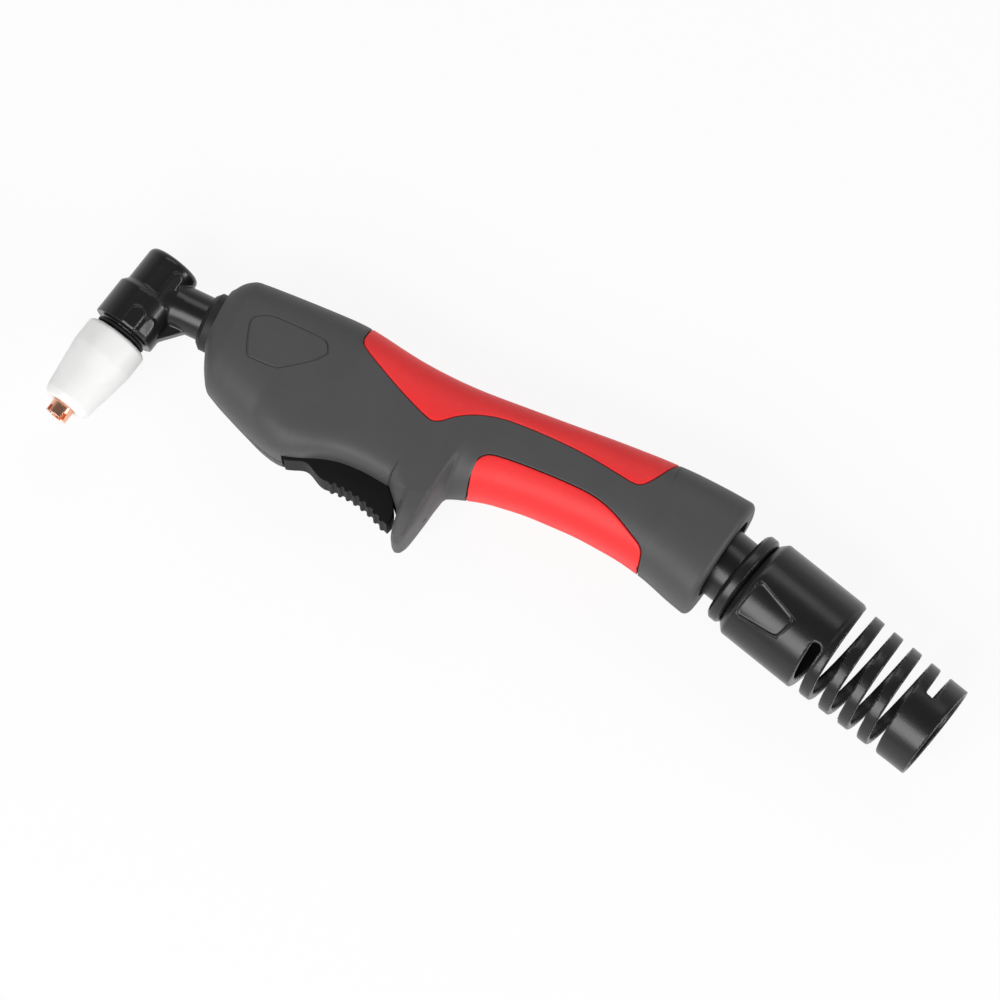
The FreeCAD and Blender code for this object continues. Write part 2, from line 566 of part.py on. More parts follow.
def finger_hook():
    """Guard behind the trigger, with a round tip, narrower towards its root behind."""
    front = Part.makePolygon([V(x, y, 0) for x, y in HOOK_FRONT])
    tip = Part.Arc(V(*HOOK_FRONT[-1], 0), V(*HOOK_TIP, 0), V(*HOOK_REAR[0], 0)).toShape()
    rear = Part.makePolygon([V(x, y, 0) for x, y in HOOK_REAR])
    top = Part.makeLine(V(*HOOK_REAR[-1], 0), V(*HOOK_FRONT[0], 0))
    outline = prism(Part.Wire(front.Edges + [tip] + rear.Edges + [top]), HOOK_FRONT_HALF)
    start = HOOK_FRONT[0][0]
    end = HOOK_REAR[-1][0]
    plan = [V(start, -BIG, -HOOK_FRONT_HALF), V(HOOK_FRONT[-1][0], -BIG, -HOOK_FRONT_HALF),
            V(end, -BIG, -HOOK_REAR_HALF), V(end, -BIG, HOOK_REAR_HALF),
            V(HOOK_FRONT[-1][0], -BIG, HOOK_FRONT_HALF), V(start, -BIG, HOOK_FRONT_HALF)]
    taper = Part.Face(Part.makePolygon(plan + plan[:1])).extrude(V(0, 2 * BIG, 0))
    return outline.common(taper)


def moved_outward(points, gap):
    """Run of points moved square to the spline through them, to the right of its direction."""
    curve = smooth_edge(points).Curve
    moved = []
    for x, y in points:
        tangent = curve.tangent(curve.parameter(V(x, y, 0)))[0]
        moved.append((x + gap * tangent.y, y - gap * tangent.x))
    return moved


def inlay_outline(place, gap):
    """Side outline of one soft grip, grown by the gap and closed well outside the handle."""
    points, far_edge, outward = INLAYS[place]
    points = moved_outward(points, outward * gap)
    return closed_by_lines(points, [(points[-1][0], far_edge), (points[0][0], far_edge)])


def soft_grips(outer):
    """Soft grips let into the handle's skin, and the pockets that they sit in."""
    under_grip = handle_loft(INLAY_THICKNESS)
    under_pocket = handle_loft(INLAY_THICKNESS + SOFT_GAP)
    grips = {}
    pockets = []
    for place in INLAYS:
        grips[place] = prism(inlay_outline(place, 0), BIG / 2).common(outer).cut(under_grip)
        pockets.append(prism(inlay_outline(place, INLAY_GAP), BIG / 2).cut(under_pocket))
    return grips, pockets


def neck_ribs():
    """Two walls with a round seat each side of the neck's flange."""
    ribs = []
    for start in (NECK_FLANGE_START - SEAT_GAP - RIB_WIDTH, NECK_FLANGE_START + NECK_FLANGE_WIDTH + SEAT_GAP):
        ribs.append(box((start, start + RIB_WIDTH), (-BIG / 2, BIG / 2), (-BIG / 2, BIG / 2)))
    return ribs


def inner_supports(outer):
    """Ribs, bosses and shelves moulded inside the handle, clipped to its outer skin."""
    solids = neck_ribs()
    for x, y, seat, tip in SCREWS:
        solids.append(rod_z(SCREW_HEAD_RADIUS + SCREW_BOSS_WALL, -BIG / 2, BIG / 2, x, y))
    for side in (-1, 1):
        inner = TRIGGER_HALF_WIDTH + TRIGGER_SIDE_GAP
        low, high = sorted((side * inner, side * BIG / 2))
        solids.append(rod_z(PIVOT_RADIUS + PIVOT_BOSS_WALL, low, high, PIVOT_X, PIVOT_Y))
        low, high = sorted((side * (SWITCH_HALF_WIDTH + SEAT_GAP), side * BIG / 2))
        half = SWITCH_LENGTH / 2 - SWITCH_RIB_SETBACK
        solids.append(box((SWITCH_X - half, SWITCH_X + half),
                          (SWITCH_FOOT + SWITCH_RIB_DROP, SWITCH_TOP - SWITCH_RIB_DROP), (low, high)))
    shelf_x = (TRIGGER_SPRING_X - SPRING_SHELF_LENGTH / 2, TRIGGER_SPRING_X + SPRING_SHELF_LENGTH / 2)
    solids.append(box(shelf_x, (SPRING_SHELF_Y, SPRING_SHELF_Y + SPRING_SHELF_THICKNESS), (-BIG / 2, BIG / 2)))
    joined = solids[0].fuse(solids[1:])
    return joined.common(outer)


def screw_holes():
    """Clearance holes with counterbores in the right shell, and blind pilot holes in the left."""
    holes = []
    for x, y, seat, tip in SCREWS:
        holes.append(rod_z(SCREW_RADIUS + SCREW_HOLE_EXTRA, seat - 1, tip + 1, x, y))
        holes.append(rod_z(SCREW_HEAD_RADIUS + SCREW_HOLE_EXTRA, -BIG / 2, seat, x, y))
    return holes


def handle_screws():
    """Five shell screws, as one group."""
    screws = []
    for x, y, seat, tip in SCREWS:
        head = rod_z(SCREW_HEAD_RADIUS, seat - SCREW_HEAD_HEIGHT, seat, x, y)
        socket = rod_z(SCREW_SOCKET_RADIUS, seat - SCREW_HEAD_HEIGHT - 1, seat - SCREW_HEAD_HEIGHT / 2, x, y)
        screws.append(head.fuse(rod_z(SCREW_RADIUS, seat, tip, x, y)).removeSplitter().cut(socket))
    return Part.makeCompound(screws)


def socket_cuts():
    """Rear face, mouth, ball seat and lead channel, all on the socket's own axis."""
    seat_radius = BALL_RADIUS + SOCKET_SEAT_WALL + SEAT_GAP + RUN_GAP
    behind = box((-BIG, BIG), (-BIG, BIG), (SOCKET_FACE, BIG))
    mouth = rod(SOCKET_MOUTH_RADIUS, SOCKET_SEAT_FRONT, BIG)
    seat = rod(seat_radius, SOCKET_SEAT_FRONT - SEAT_GAP, SOCKET_SEAT_REAR + SEAT_GAP)
    channel = rod(LEAD_CHANNEL_RADIUS, CAVITY_END - CHANNEL_LAP - BALL_X, SOCKET_SEAT_FRONT)
    ball_room = Part.makeSphere(BALL_RADIUS + FREE_GAP)
    return [placed(shape, SOCKET_FRAME) for shape in (behind, mouth, seat, channel, ball_room)]


def handle_pieces():
    """Both handle shells with their four soft grips."""
    skin = handle_loft(0)
    outer = skin.cut(placed(box((-BIG, BIG), (-BIG, BIG), (SOCKET_FACE, BIG)), SOCKET_FRAME))
    rim = [edge for edge in outer.Edges
           if edge.BoundBox.XMin > BALL_X and edge.BoundBox.ZLength > SLEEVE_RADIUS]
    outer = outer.makeFillet(REAR_ROUND, rim)
    grips, pockets = soft_grips(outer)
    body = outer.fuse(finger_hook())
    cavity = handle_loft(SHELL_WALL, CAVITY_START - 1, CAVITY_END)
    body = body.cut(cavity).fuse(inner_supports(outer))
    pocket_half = TRIGGER_HALF_WIDTH + TRIGGER_SIDE_GAP
    trigger_slot = box((POCKET_FRONT, POCKET_REAR), (-BIG / 2, TRIGGER_TOP + POCKET_HEADROOM),
                       (-pocket_half, pocket_half))
    neck_hole = rod_x(NECK_RADIUS + SEAT_GAP, 0, NECK_END + 1)
    flange_room = rod_x(NECK_FLANGE_RADIUS + SEAT_GAP, NECK_FLANGE_START - SEAT_GAP,
                        NECK_FLANGE_START + NECK_FLANGE_WIDTH + SEAT_GAP)
    pin_end = PIVOT_PIN_HALF + SEAT_GAP
    pin_hole = rod_z(PIVOT_RADIUS + SEAT_GAP, -pin_end, pin_end, PIVOT_X, PIVOT_Y)
    body = body.cut([trigger_slot, neck_hole, flange_room, pin_hole] + screw_holes() + socket_cuts() + pockets)
    pieces = {}
    for side, name in ((1, "left"), (-1, "right")):
        low, high = sorted((0, side * BIG / 2))
        half_space = box((-BIG, 2 * BIG), (-BIG, BIG), (low, high))
        pieces["handle_" + name] = body.common(half_space)
        for place, grip in grips.items():
            pieces[place + "_grip_" + name] = grip.common(half_space)
    return pieces


# ---- trigger and switch -------------------------------------------------------------------------
def curve_height(points, x):
    """Height of a polyline of (x, y) points at x."""
    ordered = sorted(points)
    for (x0, y0), (x1, y1) in zip(ordered, ordered[1:]):
        if x0 <= x <= x1:
            return y0 + (y1 - y0) * (x - x0) / (x1 - x0)
    return ordered[-1][1]


def trigger():
    """Rocking trigger with a toothed finger face and a barrel round its pin."""
    upper = smooth_edge(TRIGGER_UPPER)
    lower = smooth_edge(TRIGGER_LOWER)
    rear = Part.makeLine(V(*TRIGGER_UPPER[-1], 0), V(*TRIGGER_LOWER[0], 0))
    front = Part.makeLine(V(*TRIGGER_LOWER[-1], 0), V(*TRIGGER_UPPER[0], 0))
    body = prism(Part.Wire([upper, rear, lower, front]), TRIGGER_HALF_WIDTH)
    teeth = []
    for index in range(TEETH):
        x = TOOTH_RANGE[0] + (TOOTH_RANGE[1] - TOOTH_RANGE[0]) * index / (TEETH - 1)
        y = curve_height(TRIGGER_LOWER, x)
        teeth.append(rod_z(TOOTH_RADIUS, -TRIGGER_HALF_WIDTH, TRIGGER_HALF_WIDTH, x, y))
    spring_seat = Part.makeCylinder(TRIGGER_SPRING_RADIUS + SPRING_SIDE_GAP, SPRING_SEAT_DEPTH,
                                    V(TRIGGER_SPRING_X, SPRING_FOOT, 0), V(0, 1, 0))
    body = body.fuse(teeth).cut(rod_z(PIVOT_RADIUS + RUN_GAP, -BIG, BIG, PIVOT_X, PIVOT_Y))
    return body.cut(spring_seat).removeSplitter()


def trigger_pieces():
    """Trigger with its pin and spring."""
    pin = rod_z(PIVOT_RADIUS, -PIVOT_PIN_HALF, PIVOT_PIN_HALF, PIVOT_X, PIVOT_Y)
    spring = coil_spring(TRIGGER_SPRING_RADIUS, TRIGGER_SPRING_WIRE, TRIGGER_SPRING_TURNS,
                         SEAT_GAP, SPRING_SHELF_Y - SPRING_FOOT - SEAT_GAP)
    spring = placed(spring, frame(V(TRIGGER_SPRING_X, SPRING_FOOT, 0), V(0, 0, 1), V(0, 1, 0)))
    return {"trigger": trigger(), "trigger_pin": pin, "trigger_spring": spring}


def switch_pieces():
    """Snap switch above the trigger: body, button and terminals."""
    x_range = (SWITCH_X - SWITCH_LENGTH / 2, SWITCH_X + SWITCH_LENGTH / 2)
    body = box(x_range, (SWITCH_FOOT, SWITCH_TOP), (-SWITCH_HALF_WIDTH, SWITCH_HALF_WIDTH))
    top_of_hole = SWITCH_FOOT + BUTTON_HIDDEN + BUTTON_TRAVEL
    up = V(0, 1, 0)
    body = body.cut(Part.makeCylinder(BUTTON_RADIUS + RUN_GAP, top_of_hole - SWITCH_FOOT + 1,
                                      V(BUTTON_X, SWITCH_FOOT - 1, 0), up))
    button_foot = TRIGGER_TOP + BUTTON_FREE_PLAY
    button = Part.makeCylinder(BUTTON_RADIUS, SWITCH_FOOT + BUTTON_HIDDEN - button_foot,
                               V(BUTTON_X, button_foot, 0), up)
    blades = []
    for side in (-1, 1):
        x = SWITCH_X + side * TERMINAL_SPACING / 2
        z = side * TERMINAL_OFFSET
        blades.append(box((x - TERMINAL_LENGTH / 2, x + TERMINAL_LENGTH / 2),
                          (SWITCH_TOP, SWITCH_TOP + TERMINAL_HEIGHT),
                          (z - TERMINAL_WIDTH / 2, z + TERMINAL_WIDTH / 2)))
    return {"switch_body": body, "switch_button": button, "switch_terminals": Part.makeCompound(blades)}


# ---- swivel joint and cable support -------------------------------------------------------------
def ball_seat():
    """Ring in the handle's socket with a spherical seat for the ball."""
    outer = BALL_RADIUS + SOCKET_SEAT_WALL + RUN_GAP
    ring = rod(outer, SOCKET_SEAT_FRONT, SOCKET_SEAT_REAR).cut(Part.makeSphere(BALL_RADIUS + RUN_GAP))
    return placed(ring, SOCKET_FRAME)


def swivel_knuckle():
    """Hollow ball with a neck, a flange and the spigot that the cable support turns on."""
    ball = Part.makeSphere(BALL_RADIUS).cut(rod(BALL_RADIUS + 1, -BALL_RADIUS - 1, BALL_FRONT))
    spigot = SUPPORT_BORE - RUN_GAP
    rim_start = SPIGOT_END - SPIGOT_RIM_WIDTH
    chamfered = FLANGE_RADIUS - FLANGE_CHAMFER
    stem = turned([(0, 0), (KNUCKLE_NECK_RADIUS, 0), (KNUCKLE_NECK_RADIUS, FLANGE_START),
                   (chamfered, FLANGE_START), (FLANGE_RADIUS, FLANGE_START + FLANGE_CHAMFER),
                   (FLANGE_RADIUS, FLANGE_END - FLANGE_CHAMFER), (chamfered, FLANGE_END),
                   (spigot, FLANGE_END), (spigot, rim_start), (spigot + SPIGOT_RIM, rim_start),
                   (spigot + SPIGOT_RIM, SPIGOT_END), (0, SPIGOT_END)])
    bore = rod(KNUCKLE_BORE, -BALL_RADIUS - 1, SPIGOT_END + 1)
    return placed(ball.fuse(stem).removeSplitter().cut(bore), SUPPORT_FRAME)


def spiral_slot():
    """Helical slot with round ends, cut right through the wall of the cable support."""
    middle = (SUPPORT_BORE + SLEEVE_RADIUS) / 2
    depth = SLEEVE_RADIUS - SUPPORT_BORE + 3
    helix = Part.makeHelix(SLOT_PITCH, SLOT_PITCH * SLOT_TURNS, middle)
    half = SLOT_WIDTH / 2
    corners = [V(middle - depth / 2, 0, -half), V(middle + depth / 2, 0, -half),
               V(middle + depth / 2, 0, half), V(middle - depth / 2, 0, half)]
    profile = Part.makePolygon(corners + corners[:1])
    slot = Part.Wire(helix.Edges).makePipeShell([profile], True, True)
    ends = []
    for turn in (0, SLOT_TURNS):
        end = Part.makeCylinder(half, depth, V(middle - depth / 2, 0, SLOT_PITCH * turn), V(1, 0, 0))
        end.rotate(V(0, 0, 0), Z_AXIS, 360 * turn)
        ends.append(end)
    tools = [slot] + ends
    for tool in tools:
        tool.rotate(V(0, 0, 0), Z_AXIS, SLOT_START_ANGLE)
        tool.translate(V(0, 0, SLOT_START))
    return tools


def cable_support():
    """Sleeve with a spiral strain relief, hollow all the way, that turns on the knuckle's spigot."""
    spigot = SUPPORT_BORE - RUN_GAP
    rim_room = spigot + SPIGOT_RIM + RUN_GAP
    rim_low = SPIGOT_END - SPIGOT_RIM_WIDTH - RUN_GAP
    body = turned([(SUPPORT_BORE, SLEEVE_START), (SLEEVE_RADIUS - SLEEVE_LEAD_IN, SLEEVE_START),
                   (SLEEVE_RADIUS, SLEEVE_START + SLEEVE_LEAD_IN), (SLEEVE_RADIUS, SLEEVE_END - 1),
                   (COIL_RADIUS, SLEEVE_END), (COIL_END_RADIUS, SUPPORT_END - ENTRY_LENGTH),
                   (COIL_END_RADIUS, SUPPORT_END), (ENTRY_BORE, SUPPORT_END),
                   (ENTRY_BORE, SUPPORT_END - ENTRY_LENGTH), (SUPPORT_BORE, SUPPORT_END - ENTRY_LENGTH),
                   (SUPPORT_BORE, SPIGOT_END + RUN_GAP), (rim_room, SPIGOT_END + RUN_GAP),
                   (rim_room, rim_low), (SUPPORT_BORE, rim_low)])
    for tool in spiral_slot():
        body = body.cut(tool)
    return placed(body, SUPPORT_FRAME)


# ---- whole torch --------------------------------------------------------------------------------
def all_pieces():
    """Every piece of the torch by name, in the working frame."""
    pieces = {"head_body": head_body()}
    pieces.update(head_pieces())
    pieces.update(plunger_pieces())
    pieces["swirl_ring"] = swirl_ring()
    pieces["cutting_tip"] = cutting_tip()
    pieces.update(cup_pieces())
    pieces.update(supply_pieces())
    pieces.update(handle_pieces())
    pieces["handle_screws"] = handle_screws()
    pieces.update(trigger_pieces())
    pieces.update(switch_pieces())
    pieces["ball_seat"] = ball_seat()
    pieces["swivel_knuckle"] = swivel_knuckle()
    pieces["cable_support"] = cable_support()
    return pieces


def floor_centre(pieces):
    """Point under the middle of the whole torch, at its lowest height."""
    bounds = FreeCAD.BoundBox()
    for shape in pieces.values():
        bounds.add(shape.optimalBoundingBox(False))
    return V(bounds.Center.x, bounds.Center.y, bounds.ZMin)


def main():
    """Builds the torch and writes each piece."""
    pieces = all_pieces()
    origin = floor_centre(pieces)
    os.makedirs("parts", exist_ok=True)
    for name, shape in pieces.items():
        shape.translate(-origin)
        shape.exportStep("parts/" + name + ".step")
        print(name, "solids", len(shape.Solids), "valid", shape.isValid(), "volume", round(shape.Volume, 1))
    print("origin in the working frame", origin)


main()
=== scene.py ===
"""Looks of a hand torch for air plasma cutting, built round its CAD frame.

Lengths of the torch are in millimetres in its working frame: the origin is where the head's axis
crosses the neck's axis, +X runs back along the neck, +Y towards the back of the hand, and +Z out
of the left flank. Meshes are written in metres in the CAD frame.
"""
import bmesh
import bpy
import json
import math
import numpy as np
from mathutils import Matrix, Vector


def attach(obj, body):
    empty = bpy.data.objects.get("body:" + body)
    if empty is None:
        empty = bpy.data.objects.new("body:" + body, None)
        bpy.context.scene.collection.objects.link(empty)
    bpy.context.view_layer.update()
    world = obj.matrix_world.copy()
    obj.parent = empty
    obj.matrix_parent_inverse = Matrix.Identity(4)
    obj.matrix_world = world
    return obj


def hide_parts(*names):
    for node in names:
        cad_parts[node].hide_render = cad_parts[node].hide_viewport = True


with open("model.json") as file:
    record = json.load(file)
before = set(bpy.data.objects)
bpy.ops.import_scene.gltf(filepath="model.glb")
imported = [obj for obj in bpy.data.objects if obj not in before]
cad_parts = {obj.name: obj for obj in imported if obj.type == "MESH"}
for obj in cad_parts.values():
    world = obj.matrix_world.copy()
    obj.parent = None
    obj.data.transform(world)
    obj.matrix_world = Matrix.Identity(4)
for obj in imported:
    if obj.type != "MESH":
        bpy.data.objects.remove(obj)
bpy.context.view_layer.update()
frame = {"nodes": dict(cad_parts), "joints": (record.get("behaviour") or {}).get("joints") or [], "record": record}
NODES = frame["nodes"]
MM = 0.001

# ---- working frame --------------------------------------------------------------------------
PIVOT = np.array([77.5, -28.4, 0.0])          # trigger pin
JOINTS = {joint["name"]: joint for joint in frame["joints"]}
ORIGIN = np.array(JOINTS["trigger_pivot"]["pos_m"]) - PIVOT * MM

# ---- stage ----------------------------------------------------------------------------------
AIM = ORIGIN + np.array([149.6, -14.0, 0.0]) * MM      # what the camera and the lamps face
CAMERA_AZIMUTH = 26.0
CAMERA_ELEVATION = 77.0
CAMERA_DISTANCE = 1.8            # metres
CAMERA_LENS = 177.0              # focal length in millimetres
SENSOR = 36.0                    # width in millimetres
FLOOR_HALF = 6.0                 # half the floor's side, in metres
FLOOR_GAP = 0.0002               # the floor lies this far under z = 0, in metres
PAPER = (0.86, 0.86, 0.86)
PAPER_GLOW = 0.9                 # share of plain white in what the camera sees of the floor
HORIZON = 0.6                    # strength of the surroundings at the horizon
ZENITH = 0.14                    # and overhead
# name, azimuth, elevation, distance in metres, size in metres, power in watts
LAMPS = [
    ("key", -12, 42, 1.6, (1.4, 0.9), 23),
    ("strip", 90, 21, 1.6, (1.0, 0.3), 10),
    ("fill", 195, 48, 1.8, (1.4, 0.7), 6),
]


# ---- node trees -------------------------------------------------------------------------------
class Field:
    """A number that varies over a surface. Arithmetic on it adds Math nodes."""

    def __init__(self, tree, socket):
        self.tree = tree
        self.socket = socket

    def _math(self, operation, *values):
        """Result of a Math node over numbers or fields."""
        sockets = dict(enumerate(values))
        return self.tree.add("ShaderNodeMath", {"operation": operation}, sockets)

    def __add__(self, other):
        return self._math("ADD", self, other)

    __radd__ = __add__

    def __sub__(self, other):
        return self._math("SUBTRACT", self, other)

    def __rsub__(self, other):
        return self._math("SUBTRACT", other, self)

    def __mul__(self, other):
        return self._math("MULTIPLY", self, other)

    __rmul__ = __mul__

    def clamped(self):
        """The field held between 0 and 1."""
        return self.tree.add("ShaderNodeClamp", {}, {"Value": self})

    def steps(self, low, high):
        """Rises smoothly from 0 at low to 1 at high, or falls where low is above high."""
        settings = {"interpolation_type": "SMOOTHSTEP"}
        if low <= high:
            sockets = {"Value": self, "From Min": low, "From Max": high}
            return self.tree.add("ShaderNodeMapRange", settings, sockets)
        return 1 - self.steps(high, low)


class Tree:
    """Nodes of one material or world."""

    def __init__(self, owner):
        owner.use_nodes = True
        self.nodes = owner.node_tree.nodes
        self.links = owner.node_tree.links

    def add(self, kind, settings=None, sockets=None, output=0):
        """Adds a node: its settings first, then values or links for its sockets."""
        node = self.nodes.new(kind)
        for key, value in (settings or {}).items():
            setattr(node, key, value)
        for key, value in (sockets or {}).items():
            self.feed(node.inputs[key], value)
        return Field(self, node.outputs[output])

    def feed(self, socket, value):
        """Links a field to a socket, or sets the socket's own value."""
        if isinstance(value, Field):
            self.links.new(value.socket, socket)
        else:
            socket.default_value = value

    def mix(self, share, first, second):
        """Mix of two colours, a share of the second."""
        settings = {"data_type": "RGBA"}
        sockets = {0: share, 6: first, 7: second}
        return self.add("ShaderNodeMix", settings, sockets, output=2)


def rgba(colour, factor=1.0):
    """Colour times a factor, with full alpha."""
    return tuple(channel * factor for channel in colour) + (1.0,)


class Finish(Tree):
    """One material on a Principled shader, with patterns on Object coordinates."""

    def __init__(self, name):
        self.material = bpy.data.materials.new(name)
        super().__init__(self.material)
        self.shader = self.nodes["Principled BSDF"]
        self.place = self.add("ShaderNodeTexCoord", {}, {}, output="Object")

    def set(self, **values):
        """Sets or links the shader's sockets; underscores stand for spaces."""
        for key, value in values.items():
            self.feed(self.shader.inputs[key.replace("_", " ")], value)

    def noise(self, per_metre, detail=3.0, roughness=0.55, stretch=None):
        """Fractal noise with about so many spots per metre, stretched by a scale on each axis."""
        place = self.place
        if stretch:
            place = self.add("ShaderNodeMapping", {}, {"Vector": place, "Scale": stretch})
        sockets = {"Vector": place, "Scale": per_metre, "Detail": detail, "Roughness": roughness}
        return self.add("ShaderNodeTexNoise", {}, sockets)

    def edge(self, radius):
        """1 along edges sharper than the radius, 0 on open faces."""
        rounded = self.add("ShaderNodeBevel", {"samples": 8}, {"Radius": radius})
        flat = self.add("ShaderNodeNewGeometry", {}, {}, output="Normal")
        settings = {"operation": "DOT_PRODUCT"}
        match = self.add("ShaderNodeVectorMath", settings, {0: rounded, 1: flat}, "Value")
        return match.steps(0.995, 0.88)

    def relief(self, height, distance, rounding=None):
        """Bump of the given height in metres, over edges rounded in shading by a radius."""
        sockets = {"Height": height, "Distance": distance, "Strength": 1.0}
        if rounding:
            sockets["Normal"] = self.add("ShaderNodeBevel", {"samples": 8}, {"Radius": rounding})
        self.set(Normal=self.add("ShaderNodeBump", {}, sockets))


# ---- finishes ---------------------------------------------------------------------------------
def moulded(name, colour, roughness, grain, grain_depth, worn=0.35, specular=0.5):
    """Moulded plastic or rubber: clouded colour, fine spark grain, paler rubbed edges."""
    finish = Finish(name)
    cloud = finish.noise(60, detail=4.0)
    flecks = finish.noise(900, detail=2.0)
    edge = finish.edge(0.0004)
    shade = cloud.steps(0.3, 0.7) * 0.7 + flecks.steps(0.3, 0.7) * 0.3
    base = finish.mix(shade, rgba(colour, 0.95), rgba(colour, 1.05))
    rubbed = tuple(channel + (1 - channel) * 0.05 for channel in colour)
    base = finish.mix(edge * worn, base, rgba(rubbed))
    finish.set(Base_Color=base, Specular_IOR_Level=specular)
    smear = finish.noise(140, detail=5.0, stretch=(0.35, 1.0, 1.0))
    finish.set(Roughness=(roughness - 0.06 + smear * 0.12 - edge * 0.06).clamped())
    finish.relief(finish.noise(grain, detail=2.0), grain_depth)
    return finish.material


def machined(name, colour, roughness):
    """Turned or drawn metal: fine tool marks, uneven polish and a little tarnish."""
    finish = Finish(name)
    lines = finish.noise(1500, detail=2.0, stretch=(0.2, 1.0, 0.2))
    cloud = finish.noise(220, detail=5.0)
    stain = cloud.steps(0.42, 0.75) * 0.6
    base = finish.mix(stain, rgba(colour), rgba(colour, 0.6))
    edge = finish.edge(0.00025)
    bright = tuple(min(1.0, channel * 1.25) for channel in colour)
    base = finish.mix(edge * 0.4, base, rgba(bright))
    finish.set(Base_Color=base, Metallic=1.0)
    finish.set(Roughness=(roughness + stain * 0.18 + lines * 0.1 - 0.05).clamped())
    finish.relief(lines, 0.000006, 0.00012)
    return finish.material


def ceramic_white(name):
    """White insulating cup: smooth, with faint warm clouding and a fine matt grain."""
    finish = Finish(name)
    cloud = finish.noise(90, detail=4.0)
    base = finish.mix(cloud.steps(0.35, 0.7), rgba((0.80, 0.80, 0.79)), rgba((0.84, 0.84, 0.835)))
    speck = finish.noise(1600, detail=1.0).steps(0.68, 0.78)
    base = finish.mix(speck * 0.12, base, rgba((0.6, 0.58, 0.54)))
    finish.set(Base_Color=base, Roughness=0.42 + finish.noise(400) * 0.1)
    finish.relief(finish.noise(2600, detail=2.0), 0.000008, 0.0003)
    return finish.material


FINISHES = {
    "head_plastic": moulded("black_nylon", (0.011, 0.011, 0.012), 0.25, 2600, 0.000012, specular=0.45),
    "support_plastic": moulded("black_support_nylon", (0.010, 0.010, 0.011), 0.27, 2400, 0.000014,
                               specular=0.45),
    "trigger_plastic": moulded("black_trigger", (0.012, 0.012, 0.013), 0.5, 2600, 0.000016,
                               specular=0.04),
    "handle_grey": moulded("grey_shell", (0.066, 0.066, 0.068), 0.52, 3200, 0.00002,
                           worn=0.25, specular=0.35),
    "grip_red": moulded("red_soft_grip", (0.84, 0.026, 0.028), 0.5, 2800, 0.000016,
                        worn=0.3, specular=0.35),
    "rubber": moulded("black_rubber", (0.014, 0.014, 0.014), 0.55, 3000, 0.00002, specular=0.35),
    "switch_plastic": moulded("switch_moulding", (0.03, 0.03, 0.033), 0.35, 2600, 0.00001),
    "bearing_plastic": moulded("acetal", (0.56, 0.56, 0.53), 0.38, 1800, 0.000008),
    "insulator": moulded("polyimide", (0.36, 0.19, 0.07), 0.4, 1800, 0.00001),
    "wire_red": moulded("red_insulation", (0.5, 0.02, 0.02), 0.38, 900, 0.00001),
    "wire_black": moulded("black_insulation", (0.02, 0.02, 0.02), 0.38, 900, 0.00001),
    "ceramic": ceramic_white("white_cup"),
    "brass": machined("turned_brass", (0.78, 0.56, 0.25), 0.26),
    "copper": machined("turned_copper", (0.93, 0.50, 0.34), 0.22),
    "hafnium": machined("hafnium", (0.5, 0.49, 0.5), 0.35),
    "spring_steel": machined("spring_wire", (0.55, 0.55, 0.56), 0.3),
    "steel": machined("zinc_plated_steel", (0.6, 0.6, 0.62), 0.32),
}
SLOT_OF = {row["node"]: row["material_slot"] for row in frame["record"]["subparts"]}


def dress(piece, slot):
    """Gives a piece the finish of a slot of the record."""
    piece.data.materials.clear()
    piece.data.materials.append(FINISHES[slot])
    return piece


for name, node in NODES.items():
    dress(node, SLOT_OF[name])


# ---- meshes -------------------------------------------------------------------------------------
TURN = 2 * math.pi
FLANK = np.array([0.0, 0.0, 1.0])         # out of the left flank
CREASE = 32                               # degrees; sharper edges keep their crease in shading
WELD = 0.003 * MM                         # points closer than this are one point
SHORTEST_EDGE = 0.002 * MM
COPY_WELD = 0.001 * MM


def bend(degrees):
    """Unit vector in the mid-plane, turned from +X towards +Y."""
    return np.array([math.cos(math.radians(degrees)), math.sin(math.radians(degrees)), 0.0])


def piece_from(name, points, faces):
    """Closed mesh from points in millimetres of the working frame, doubles merged, faces outwards."""
    mesh = bpy.data.meshes.new(name)
    mesh.from_pydata(ORIGIN + points * MM, [], faces)
    shell = bmesh.new()
    shell.from_mesh(mesh)
    bmesh.ops.remove_doubles(shell, verts=shell.verts, dist=WELD)
    bmesh.ops.dissolve_degenerate(shell, edges=shell.edges, dist=SHORTEST_EDGE)
    bmesh.ops.recalc_face_normals(shell, faces=shell.faces)
    shell.to_mesh(mesh)
    shell.free()
    piece = bpy.data.objects.new(name, mesh)
    bpy.context.scene.collection.objects.link(piece)
    return piece


def loft(name, loops, ring=False):
    """Skin over closed loops of points, an array of (loops, points, 3), with flat ends or as a ring."""
    count, size = loops.shape[:2]
    steps = count if ring else count - 1
    row = np.arange(steps)[:, None]
    column = np.arange(size)[None, :]
    ahead = (row + 1) % count
    beside = (column + 1) % size
    corners = (row * size + column, row * size + beside, ahead * size + beside, ahead * size + column)
    sides = np.stack(corners, -1)
    faces = sides.reshape(-1, 4).tolist()
    if not ring:
        faces += [list(range(size)), list(range((count - 1) * size, count * size))]
    return piece_from(name, loops.reshape(-1, 3), faces)


def settle(piece):
    """Turns a piece's modifiers into its mesh."""
    bpy.context.view_layer.update()
    seen = piece.evaluated_get(bpy.context.evaluated_depsgraph_get())
    mesh = bpy.data.meshes.new_from_object(seen)
    piece.modifiers.clear()
    piece.data = mesh
    return piece


def carve(piece, tool, operation="DIFFERENCE"):
    """Cuts a tool out of a piece, or joins it to the piece, and removes the tool."""
    change = piece.modifiers.new("carve", "BOOLEAN")
    change.operation = operation
    change.solver = "MANIFOLD"
    change.object = tool
    settle(piece)
    bpy.data.objects.remove(tool)


